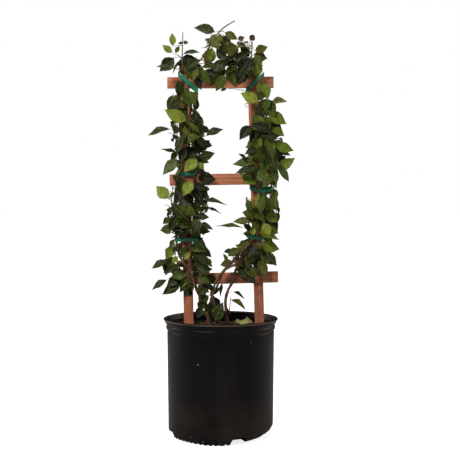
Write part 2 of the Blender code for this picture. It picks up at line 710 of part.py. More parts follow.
class Grower:
    """Grows one mass: its leader, its shoots and the opposite pairs of leaves on them."""

    def __init__(self, crown, mass, front):
        self.crown = crown
        self.name = mass.name
        self.seed = mass.seed
        self.leaf_scale = mass.leaf
        self.front = front
        self.tips = mass.tips
        self.shoots = mass.shoots
        self.left, self.right, self.low, self.high = (side * MM for side in mass.space)
        self.twigs = []
        self.leaves = []

    def inside(self, point):
        """Whether a point is in the mass's own space, before the trellis's back or behind its front."""
        if not (self.left <= point.x <= self.right and self.low <= point.z <= self.high):
            return False
        return point.y < POST_FRONT_Y + POST_DEPTH if self.front else point.y > POST_FRONT_Y

    def keep_twig(self, points, radius):
        twig = tapered(points, radius)
        self.twigs.append(twig)
        self.crown.add_twig(twig, self.name)

    def try_leaf(self, leaf):
        if not self.inside(leaf_surface(leaf, 1.0, 0.0)):
            return False
        if not self.crown.leaf_is_clear(leaf, self.name, 7 * MM):
            return False
        self.leaves.append(leaf)
        self.crown.add_leaf(leaf, self.name)
        return True

    def leaf_at(self, root, tangent, side, size, rng):
        """Draws a leaf at a node, and draws again with another droop and turn where it isn't clear."""
        for attempt in range(LEAF_TRIES):
            swing = Quaternion(tangent, rng.uniform(-0.5, 0.5) * (1 + attempt))
            out = swing @ side
            along = (out + tangent * rng.uniform(0.0, 0.45) - UP * rng.uniform(0.0, 1.0)).normalized()
            face = perpendicular(outlook(root, self.front) + 0.5 * out, along)
            face = Quaternion(along, rng.uniform(-0.6, 0.6)) @ face
            length = LEAF_LENGTH * self.leaf_scale * size * rng.uniform(0.82, 1.12) * (1 - 0.05 * attempt)
            width = length * LEAF_WIDTH_SHARE * rng.uniform(0.85, 1.1)
            foot = root - along * ROOT_PAST_AXIS
            leaf = Leaf(foot, along, face, length, width, LEAF_DROOP * rng.uniform(0.3, 1.7))
            if self.try_leaf(leaf):
                return

    def pairs(self, points, spacing, first, size, rng):
        """Opposite pairs of leaves up a twig, each pair a quarter turn on from the last."""
        route = walked(points, 3 * MM)
        length, due, pair = 0.0, first, rng.randrange(2)
        for here, after in zip(route, route[1:]):
            length += (after - here).length
            if length < due:
                continue
            due += spacing * rng.uniform(0.85, 1.15)
            tangent = (after - here).normalized()
            side = perpendicular(UP.cross(tangent) if tangent.z < 0.9 else Vector((1.0, 0.0, 0.0)), tangent)
            side = Quaternion(tangent, 0.5 * math.pi * pair + rng.uniform(-0.35, 0.35)) @ side
            pair += 1
            for direction in (side, -side):
                self.leaf_at(after, tangent, direction, size, rng)

    def shoot(self, start, end, lift):
        """The points of a shoot that leaves its leader upwards and bends over towards its end."""
        bend = start.lerp(end, 0.5) + UP * lift * (end - start).length
        return [start, bend, end]

    def reach_tip(self, leader, tip, number):
        """A shoot whose last leaf ends at a given tip, at the first depth where both are clear."""
        rng = random.Random(self.seed * 100 + number)
        for _ in range(TIP_TRIES):
            depth = rng.uniform(-42, 16) * MM
            goal = Vector((tip[0] * MM, depth, tip[1] * MM))
            below = [point for point in leader if point.z < goal.z + 12 * MM] or leader[2:3]
            wander = rng.uniform(0.0, 40.0) * MM
            start = min(below, key=lambda point: (point - goal).length + abs(point.z - goal.z + wander))
            reach = goal - start
            length = LEAF_LENGTH * self.leaf_scale * rng.uniform(0.95, 1.2)
            length = min(length, 0.85 * reach.length)
            along = (reach.normalized() - UP * rng.uniform(0.0, 0.35)).normalized()
            droop = LEAF_DROOP * rng.uniform(0.2, 1.2)
            face = perpendicular(outlook(goal, self.front), along)
            face = Quaternion(along, rng.uniform(-0.5, 0.5)) @ face
            root = goal - along * length + face * droop * length
            leaf = Leaf(root, along, face, length, 1.08 * length * LEAF_WIDTH_SHARE, droop)
            route = self.shoot(start, root + along * SUNK, rng.uniform(0.02, 0.16))
            short = (root - start).length < 9 * MM
            if short:
                along = reach.normalized()
                leaf = Leaf(start, along, perpendicular(face, along), reach.length, leaf.width, droop)
            elif not self.crown.twig_is_clear(route, SHOOT_RADIUS, self.name):
                continue
            if not self.crown.leaf_is_clear(leaf, self.name, 7 * MM):
                continue
            if not short:
                self.keep_twig(route, SHOOT_RADIUS)
            self.leaves.append(leaf)
            self.crown.add_leaf(leaf, self.name)
            if not short:
                self.pairs(route, SHOOT_INTERNODE, BARE_START, 0.9, rng)
            return

    def free_shoot(self, leader, number, count):
        """A shoot that the rule adds: spread evenly up the leader, out over the mass's own sector."""
        rng = random.Random(self.seed * 1000 + number)
        place = leader[1 + int((len(leader) - 2) * (number + rng.random()) / count)]
        for _ in range(SHOOT_TRIES):
            turn = rng.uniform(190, 350) if self.front else rng.uniform(10, 170)
            out = heading(turn) + UP * rng.uniform(-0.5, 0.7)
            end = place + out.normalized() * rng.uniform(10, 30) * MM
            route = self.shoot(place, end, rng.uniform(0.0, 0.2))
            if self.inside(end) and self.crown.twig_is_clear(route, SHOOT_RADIUS, self.name):
                self.keep_twig(route, SHOOT_RADIUS)
                tangent = (route[-1] - route[-2]).normalized()
                self.leaf_at(end - tangent * SUNK, tangent, tangent, 0.95, rng)
                self.pairs(route, SHOOT_INTERNODE, BARE_START, 1.0, rng)
                return

    def start_leader(self, route):
        """Grows the leader, which every other mass then keeps clear of."""
        self.route = smooth_route(route, TWIG_STEP)
        self.leader = walked(self.route, 9 * MM)
        if not self.crown.twig_is_clear(self.route, LEADER_RADIUS, self.name, 4 * MM):
            raise ValueError(f"the leader of {self.name} isn't clear")
        self.keep_twig(self.route, LEADER_RADIUS)

    def reach_tips(self):
        for number, tip in enumerate(self.tips):
            self.reach_tip(self.leader, tip, number)

    def fill(self, bare):
        """Leaves on the leader above its bare foot, and then the shoots that the rule adds."""
        self.pairs(self.route, INTERNODE, bare, 1.0, random.Random(self.seed))
        for number in range(self.shoots):
            self.free_shoot(self.leader, number, self.shoots)


def union_of(name, grower, profile, parts, material):
    """One closed body of a mass's twigs and leaves. Sealed hollows are filled, loose scraps dropped."""
    pieces = make_collection(name + "_pieces")
    curves = [
        tube_curve(f"{name}_twig_{index}", twig, pieces, profile) for index, twig in enumerate(grower.twigs)
    ]
    bpy.context.view_layer.update()
    twigs = meshes_of(curves, pieces, None)
    for index, leaf in enumerate(grower.leaves):
        mesh = bpy.data.meshes.new(f"{name}_leaf_{index}")
        mesh.from_pydata([tuple(corner) for corner in leaf_corners(leaf)], [], UNIT_FACES)
        add_object(mesh.name, mesh, pieces)
    leader = twigs[0]
    pieces.objects.unlink(leader)
    parts.objects.link(leader)
    boolean = leader.modifiers.new("fuse", "BOOLEAN")
    boolean.operation = "UNION"
    boolean.solver = "MANIFOLD"
    boolean.operand_type = "COLLECTION"
    boolean.collection = pieces
    bpy.context.view_layer.update()
    mesh = bpy.data.meshes.new_from_object(leader.evaluated_get(bpy.context.evaluated_depsgraph_get()))
    for piece in list(pieces.objects):
        bpy.data.objects.remove(piece, do_unlink=True)
    bpy.data.collections.remove(pieces)
    bpy.data.objects.remove(leader, do_unlink=True)
    mesh.name = name
    keep_largest(mesh)
    mesh.materials.clear()
    return add_object(name, mesh, parts, material)


def keep_largest(mesh):
    bm = bmesh.new()
    bm.from_mesh(mesh)
    left = set(bm.faces)
    islands = []
    while left:
        stack = [left.pop()]
        island = []
        while stack:
            face = stack.pop()
            island.append(face)
            for edge in face.edges:
                for other in edge.link_faces:
                    if other in left:
                        left.remove(other)
                        stack.append(other)
        islands.append(island)
    islands.sort(key=len)
    for island in islands[:-1]:
        bmesh.ops.delete(bm, geom=island, context="FACES")
    bm.to_mesh(mesh)
    bm.free()


def grow_all(crown, limbs):
    """Leaders first, then the shoots to the furthest tips, then the rest, each clear of what is there."""
    growers = []
    for top in TOPS:
        limb = limbs[top.limb]
        direction = (limb.points[-1] - limb.points[-2]).normalized()
        grower = Grower(crown, top, True)
        start = [limb.points[-1] + direction * reach for reach in (GAP, GAP + 3 * MM)]
        grower.start_leader(start + [Vector(point) * MM for point in top.route])
        growers.append(grower)
    for mass in MASSES:
        grower = Grower(crown, mass, mass.front)
        grower.start_leader(leader_of(mass, limbs[mass.limb]))
        growers.append(grower)
    for grower in growers:
        grower.reach_tips()
    for grower in growers:
        grower.fill(1.5 * BARE_START)
    return growers


def triangle_profile(helpers):
    """The three sided outline that twigs are swept from."""
    curve = bpy.data.curves.new("twig_profile", "CURVE")
    curve.dimensions = "2D"
    spline = curve.splines.new("POLY")
    spline.points.add(2)
    for control, turn in zip(spline.points, (90, 210, 330)):
        control.co = (*heading(turn), 1.0)
    spline.use_cyclic_u = True
    profile = add_object("twig_profile", curve, helpers)
    hide_helper(profile)
    return profile


def main():
    clear_scene()
    parts = make_collection(OBJECT_NAME)
    helpers = make_collection("helpers")
    black_plastic = make_material("black_plastic", (0.011, 0.010, 0.011), 0.45)
    bark_mix = make_material("bark_mix", (0.055, 0.035, 0.022), 0.95)
    stained_wood = make_material("stained_redwood", (0.33, 0.12, 0.065), 0.7)
    green_tape = make_material("green_tape", (0.005, 0.06, 0.04), 0.35)
    woody_stem = make_material("woody_stem", (0.11, 0.065, 0.04), 0.8)
    leaf_green = make_material("leaf_green", (0.05, 0.09, 0.02), 0.4)
    posts, slots = make_posts(parts, helpers, stained_wood)
    solids = [make_pot(parts, helpers, black_plastic), make_soil(parts, helpers, bark_mix, slots)]
    solids += posts
    solids += make_rails(parts, stained_wood)
    limbs = {limb.name: limb_twig(limb) for limb in LIMBS}
    solids += make_ties(parts, green_tape, limbs)
    bpy.context.view_layer.update()
    solids += make_limbs(parts, woody_stem, limbs)
    bpy.context.view_layer.update()
    growers = grow_all(Crown(solids), limbs)
    profile = triangle_profile(helpers)
    for grower in growers:
        union_of(grower.name, grower, profile, parts, leaf_green)


main()
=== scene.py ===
"""The looks of a potted star jasmine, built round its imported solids.

Metres, +Z up, and the front is -Y. Each operator makes one piece or one group of like pieces. The
foliage grows by one seeded rule: leaders off the limbs, shoots off the leaders, opposite pairs of leaves.
"""

import json
import math
import random
from collections import defaultdict, namedtuple
from functools import cache
from itertools import product

import bmesh
import bpy
import numpy as np
from bpy.props import FloatProperty, FloatVectorProperty, IntProperty, PointerProperty
from mathutils import Matrix, Quaternion, Vector, noise
from mathutils.bvhtree import BVHTree
from mathutils.geometry import convex_hull_2d

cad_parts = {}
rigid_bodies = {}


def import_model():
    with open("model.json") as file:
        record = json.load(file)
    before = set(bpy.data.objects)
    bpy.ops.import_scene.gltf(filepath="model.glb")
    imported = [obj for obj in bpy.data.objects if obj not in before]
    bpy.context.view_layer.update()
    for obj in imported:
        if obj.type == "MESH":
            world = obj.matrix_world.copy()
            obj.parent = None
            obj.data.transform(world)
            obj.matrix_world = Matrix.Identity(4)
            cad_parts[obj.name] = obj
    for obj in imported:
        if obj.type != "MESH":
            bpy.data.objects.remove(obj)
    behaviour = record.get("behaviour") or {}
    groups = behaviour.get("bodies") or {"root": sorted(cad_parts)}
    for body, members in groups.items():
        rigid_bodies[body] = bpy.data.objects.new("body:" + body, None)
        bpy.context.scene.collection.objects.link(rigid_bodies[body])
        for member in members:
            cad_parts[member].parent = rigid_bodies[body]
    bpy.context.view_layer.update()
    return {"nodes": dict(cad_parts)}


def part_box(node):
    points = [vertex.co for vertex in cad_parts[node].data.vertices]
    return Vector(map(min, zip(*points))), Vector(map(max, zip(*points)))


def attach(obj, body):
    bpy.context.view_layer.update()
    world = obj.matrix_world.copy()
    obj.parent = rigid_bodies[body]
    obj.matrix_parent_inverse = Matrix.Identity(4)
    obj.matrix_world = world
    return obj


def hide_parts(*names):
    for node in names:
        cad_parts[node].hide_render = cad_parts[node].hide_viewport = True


bl_info = {
    "name": "Potted Star Jasmine",
    "version": (1, 0, 0),
    "blender": (4, 5, 0),
    "location": "3D View > Sidebar > Star Jasmine",
    "description": "Builds a star jasmine on a ladder trellis in a nursery pot",
    "category": "Add Mesh",
}

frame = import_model()

MM = 0.001
GAP = 0.3 * MM
UP = Vector((0.0, 0.0, 1.0))

# Pot
POT_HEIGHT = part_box("pot")[1].z
LIP_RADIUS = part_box("pot")[1].x
LIP_INNER_RADIUS = 135.5 * MM
LIP_DROP = 9 * MM
NECK_RADIUS = 135.2 * MM
BAND_RADIUS = 136.4 * MM
BAND_TOP_DROP = 18 * MM
BAND_HEIGHT = 8 * MM
BODY_RADIUS = 133.8 * MM
BODY_TOP_DROP = 30 * MM
BASE_RADIUS = 131 * MM
BODY_MIDDLE = 0.5 * (BASE_RADIUS + BODY_RADIUS)
BASE_EDGE = 3 * MM
POT_WALL = 1.8 * MM
POT_SIDES = 384
Drain = namedtuple("Drain", "azimuth width height slope")
DRAINS = (
    Drain(20.5, 48 * MM, 18.5 * MM, 2.6),
    Drain(106.0, 46 * MM, 20 * MM, 3.0),
    Drain(200.5, 38 * MM, 15 * MM, 3.0),
    Drain(288.5, 50 * MM, 15 * MM, 7.0),
)
DRAIN_DEPTH = 52 * MM
DRAIN_SEED = 400
FOOT_LIFTS = ((0, 0.0), (18, 3.0), (32, 6.5), (48, 10.0), (70, 9.0), (90, 10.0), (125, 8.0), (150, 2.0),
              (230, 2.0), (262, 6.0), (284, 8.0), (300, 3.0), (325, 2.0), (345, 0.0), (360, 0.0))
FOOT_TUCK = 9 * MM
FOOT_TUCK_HEIGHT = 30 * MM
FOOT_RIB = 13 * MM
# Painted highlight along the lip: how far under the top it begins and ends
RIM_HIGHLIGHT_DROPS = (4.4 * MM, 0.9 * MM)
SCUFF_DEPTH = -0.125
SCUFF_RADIUS = 0.1328
SCUFFS = ((198, 365, 1.3), (251, 343, 0.8), (203, 442, 1.6), (221, 443.5, 2.0), (190, 439, 1.3))
CHIP_SEED = 7
SOIL_RIM = BODY_RADIUS - POT_WALL - GAP
SOIL_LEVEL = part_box("bark_mix")[1].z

# Trellis
POST_WIDTH = 24.5 * MM
POST_DEPTH = 18 * MM
POST_FOOT = 60 * MM
POST_TOP = 929 * MM
POST_FRONT_Y = 26 * MM
RAIL_HEIGHT = 28.5 * MM
RAIL_DEPTH = 9 * MM
POST_SEED = 10
RAIL_SEED = 20
Post = namedtuple("Post", "name x_at_soil lean")
POSTS = (
    Post("post_left", -81.5 * MM, math.radians(1.0)),
    Post("post_right", 98.8 * MM, math.radians(1.7)),
)
Rail = namedtuple("Rail", "name middle_x middle_z length rise")
RAILS = (
    Rail("rail_bottom", 11.5 * MM, 387.5 * MM, 267 * MM, math.radians(1.5)),
    Rail("rail_middle", 4.5 * MM, 637 * MM, 267 * MM, math.radians(0.8)),
    Rail("rail_top", -0.8 * MM, 879.8 * MM, 267.5 * MM, math.radians(0.3)),
)

# Ties
TIE_THICKNESS = 0.8 * MM
TIE_STEP = 2.2 * MM
TIE_SEED = 600
TIE_MIDDLE_Y = 20 * MM
TIE_SLACK_FRONT_Y = 15.5 * MM
TIE_SLACK_BACK_Y = 30 * MM
Tie = namedtuple("Tie", "name post held left right height slope_x slope_y sag width knot_x")
LEFT_PAIR = ("stem_left", "bough_left")
RIGHT_THREE = ("stem_right", "stem_twisted_first", "stem_twisted_second")
RIGHT_PAIR = ("stem_right", "stem_twisted_first")
TIES = (
    Tie("tie_left_low", 0, LEFT_PAIR, -116.0 * MM, -60.0 * MM, 485 * MM, 0.0, 0.05, 0.0, 9 * MM, -116 * MM),
    Tie("tie_left_middle", 0, LEFT_PAIR, -108.0 * MM, -61.5 * MM, 657 * MM, 0.02, 0.62, 0.0, 9 * MM, -106 * MM),
    Tie("tie_left_top", 0, LEFT_PAIR, -107.0 * MM, -57.0 * MM, 880 * MM, -0.86, 0.0, 0.0, 13 * MM, None),
    Tie("tie_right_low", 1, RIGHT_THREE, 66.0 * MM, 108.0 * MM, 490 * MM, -0.18, 0.0, 0.0, 9 * MM, None),
    Tie("tie_right_middle", 1, RIGHT_PAIR, 73.0 * MM, 135.0 * MM, 616 * MM, 0.0, -0.05, 9 * MM, 9 * MM, 98 * MM),
    Tie("tie_right_top", 1, ("stem_right",), 63.0 * MM, 109.0 * MM, 880 * MM, 0.92, 0.0, 0.0, 10 * MM, None),
)

# Limbs, through points in millimetres
LIMB_STEP = 21 * MM
FLARE = 0.55
FLARE_HEIGHT = 14 * MM
TWIST_STEP = 14 * MM
TWIST_RADIUS = 3.7 * MM
TWIST_TURNS = 2.0
TWIST_FADE = 34 * MM
SOIL_TOP = 262.3
Limb = namedtuple("Limb", "name base_radius tip_radius flared twist route")
STEM_LEFT_ROUTE = (
    (-28, -3, SOIL_TOP), (-29, -3, 277), (-35, -2, 305), (-48, 0, 335), (-60.5, 2, 362),
    (-71, 5, 392), (-79, 11, 431), (-84, 20.8, 478), (-80, 19, 527), (-72, 14, 575),
    (-67.5, 11.5, 625), (-67.5, 11.5, 655), (-70, 15, 700), (-74, 18, 750), (-76, 18, 810),
    (-78.5, 13.5, 850), (-83, 12.8, 880), (-86, 12, 900),
)
BOUGH_LEFT_ROUTE = (
    (-79.8, 3, 397), (-84, 4, 408), (-92, 7, 424), (-104, 15, 446), (-111, 25, 466), (-112, 27, 490),
    (-115.5, 20, 535), (-116, 13, 590), (-110, 12, 625), (-100.5, 12, 655), (-97, 15, 690), (-101, 17, 745),
    (-105, 18, 805), (-101, 14, 845), (-95, 13, 875), (-94.5, 12, 900),
)
STEM_RIGHT_ROUTE = (
    (16, 6, SOIL_TOP), (15.5, 6, 277), (13, 7, 307), (12, 8, 333), (18, 9, 357), (29, 9.5, 378),
    (34, 9.5, 398), (46, 10, 425), (66, 12, 446), (88, 18, 467), (98, 21, 492), (112, 18, 532),
    (125, 14, 575), (127, 12, 612), (124, 11.5, 652), (119.5, 15, 705), (119.5, 18, 755),
    (113, 18, 803), (102, 14, 842), (90, 13, 872), (82, 12, 900),
)
TWIST_ROUTE = (
    (-8, -10, SOIL_TOP), (-9, -10, 275), (-16, -9, 305), (-21, -8, 335), (-19, -7, 356), (-12, -6, 371),
    (-5, -5, 389), (6, -5, 407), (19, -5, 418), (35, -5, 428), (47, -3, 443), (59, 3, 459), (69, 11, 474),
    (76, 18.5, 491),
)
TWIST_END = TWIST_ROUTE[-1][2] * MM
TWIST_FIRST_TOP = (
    (82, 20.5, 525), (88, 17, 570), (92.5, 12, 615), (93, 11.5, 655), (89, 16, 705),
    (84, 20, 765), (81, 17, 822), (78, 13, 860),
)
TWIST_SECOND_TOP = ((71, 21, 520), (67, 21, 560), (65, 17, 592))
LIMBS = (
    Limb("stem_left", 4.6 * MM, 1.7 * MM, True, None, STEM_LEFT_ROUTE),
    Limb("bough_left", 3.3 * MM, 1.6 * MM, False, None, BOUGH_LEFT_ROUTE),
    Limb("stem_right", 4.0 * MM, 1.7 * MM, True, None, STEM_RIGHT_ROUTE),
    Limb("stem_twisted_first", 3.0 * MM, 1.6 * MM, False, 0.0, TWIST_ROUTE + TWIST_FIRST_TOP),
    Limb("stem_twisted_second", 2.9 * MM, 1.9 * MM, False, math.pi, TWIST_ROUTE + TWIST_SECOND_TOP),
)

# Foliage
LEADER_RADIUS = 1.5 * MM
SHOOT_RADIUS = 1.0 * MM
STALK_RADIUS = 0.8 * MM
TWIG_TIP_SHARE = 0.6
BARE_START = 12 * MM
SUNK = 1.5 * MM
LEAF_TRIES = 8
SHOOT_TRIES = 9
BARE_HEIGHT = 490 * MM
BARE_TOP = 905 * MM
BARE_TOP_LEFT = 715 * MM
BARE_WAVE = 44
BARE_LEAST = -0.15
FRONT_REACH_Y = -42 * MM
BACK_REACH_Y = 118 * MM
LEAF_RAY = 120 * MM
STEM_RAY = 90 * MM
TIE_RAY = 70 * MM
SHOOT_SEEDS = 1000
SEEN_SEED = 9000
SEEN_SCALE = 2.48
SEEN_NARROWEST = 0.46
SEEN_LONGER = 1.04
SEEN_WIDER = 1.14
BEFORE_FIRST = 500
COVER_SEED = 78
LOW_ROW = 243
ARCH_ROW = 86
SEEN_TRIES = 50
COVER_TRIES = 26
COVER_LENGTHS = (23, 19, 15, 12)
HIDDEN_SPOTS = 4
SPARE_SPOTS = 4
COVER_STEP = 4
OUTLINE_SLACK = 5
FREE_ROW = 72
FREE_BACK = 26
CLEAR = 0.35 * MM
TWIG_ROOM = 0.5 * MM
PAIR_REACH = 2.5 * MM
OWN_FOOT = 7 * MM
SEEN_FOOT = 9 * MM
SHORTEST_STALK = 5 * MM
LONG_STALK = 40 * MM
LONG_STALK_RADIUS = 1.25 * STALK_RADIUS

# The front and back of the depths of a leaf that shows, in millimetres: at first, how much more at the
# last try, and how much more for one low down
SEEN_DEPTHS = ((-24, -14, 14), (2, 8, 12))

Mass = namedtuple("Mass", "name limb start end headings stand_off seed space tints shoots leaf", defaults=(6, 1.0))
DARK_SIDE = ("dark", "dark", "dark", "deep", "deep", "mid", "mid", "light")
MIXED_SIDE = ("dark", "dark", "deep", "mid", "mid", "light", "light", "olive")
LIGHT_SIDE = ("dark", "mid", "mid", "mid", "light", "light", "lime", "olive")
YOUNG_TOP = ("dark", "dark", "mid", "olive", "olive", "bronze", "light")
MASSES = (
    Mass("foliage_base_left_outer", "stem_left", 368, 474, (200, 190), 34, 11, (-150, -60, 345, 490),
         DARK_SIDE, 5),
    Mass("foliage_base_left_inner", "stem_left", 318, 458, (315, 350), 24, 12, (-64, -18, 290, 490), DARK_SIDE),
    Mass("foliage_base_left_back", "stem_left", 415, 520, (20, 88), 50, 13, (-130, -20, 380, 560), DARK_SIDE),
    Mass("foliage_low_left_outer", "bough_left", 500, 618, (250, 235), 12, 21, (-140, -70, 488, 650), DARK_SIDE),
    Mass("foliage_low_left_inner", "stem_left", 500, 618, (315, 320), 14, 22, (-90, -30, 488, 650), DARK_SIDE),
    Mass("foliage_low_left_back", "stem_left", 545, 676, (25, 95), 50, 23, (-135, -30, 540, 720), DARK_SIDE),
    Mass("foliage_high_left_outer", "bough_left", 676, 838, (225, 215), 12, 31, (-138, -72, 655, 835), MIXED_SIDE),
    Mass("foliage_high_left_inner", "stem_left", 672, 836, (290, 315), 13, 32, (-95, -50, 630, 835), DARK_SIDE),
    Mass("foliage_high_left_back", "stem_left", 728, 862, (20, 95), 50, 33, (-130, -50, 700, 920), DARK_SIDE),
    Mass("foliage_base_right_outer", "stem_right", 440, 480, (285, 270), 22, 41, (60, 140, 385, 510),
         MIXED_SIDE, 5),
    Mass("foliage_base_right_inner", "stem_twisted_first", 386, 470, (290, 240), 19, 42, (5, 90, 410, 490),
         DARK_SIDE, 5),
    Mass("foliage_base_right_low", "stem_right", 296, 340, (330, 350), 12, 43, (10, 40, 290, 360),
         DARK_SIDE, 0, 0.85),
    Mass("foliage_base_right_back", "stem_right", 420, 505, (75, 85), 46, 44, (30, 140, 380, 540), MIXED_SIDE),
    Mass("foliage_low_right_outer", "stem_right", 512, 592, (280, 290), 10, 51, (85, 142, 490, 625), LIGHT_SIDE),
    Mass("foliage_low_right_inner", "stem_twisted_first", 512, 592, (260, 250), 12, 52, (70, 110, 490, 565),
         LIGHT_SIDE),
    Mass("foliage_low_right_back", "stem_right", 535, 668, (60, 115), 48, 53, (50, 150, 520, 700), MIXED_SIDE),
    Mass("foliage_high_right_outer", "stem_right", 672, 826, (300, 310), 12, 61, (90, 165, 630, 840), LIGHT_SIDE),
    Mass("foliage_high_right_inner", "stem_twisted_first", 672, 836, (265, 250), 13, 62, (64, 110, 625, 775),
         LIGHT_SIDE),
    Mass("foliage_high_right_back", "stem_right", 712, 850, (70, 120), 48, 63, (50, 150, 690, 920), MIXED_SIDE),
)
Top = namedtuple("Top", "name limb route seed leaf shoots space tints radius")
TOPS = (
    Top("foliage_top_left", "bough_left", ((-95, 10, 915), (-96, 7, 940), (-95, 4, 970), (-94, 3, 1002)),
        71, 0.8, 0, (-135, -72, 895, 985), YOUNG_TOP, 1.8 * MM),
    Top("foliage_top_arch", "stem_left",
        ((-82, 10, 908), (-69, 6, 917), (-50, 3, 934), (-30, 0, 962), (-8, -2, 997), (12, 0, 1016),
         (35.4, 3, 1030.4)),
        72, 0.9, 1, (-60, 40, 865, 1000), YOUNG_TOP, 2.4 * MM),
    Top("foliage_top_right", "stem_right", ((78, 10, 915), (76, 6, 940), (78, 4, 960), (77.5, 3, 975)),
        73, 0.9, 2, (25, 110, 865, 985), YOUNG_TOP, 2.2 * MM),
)
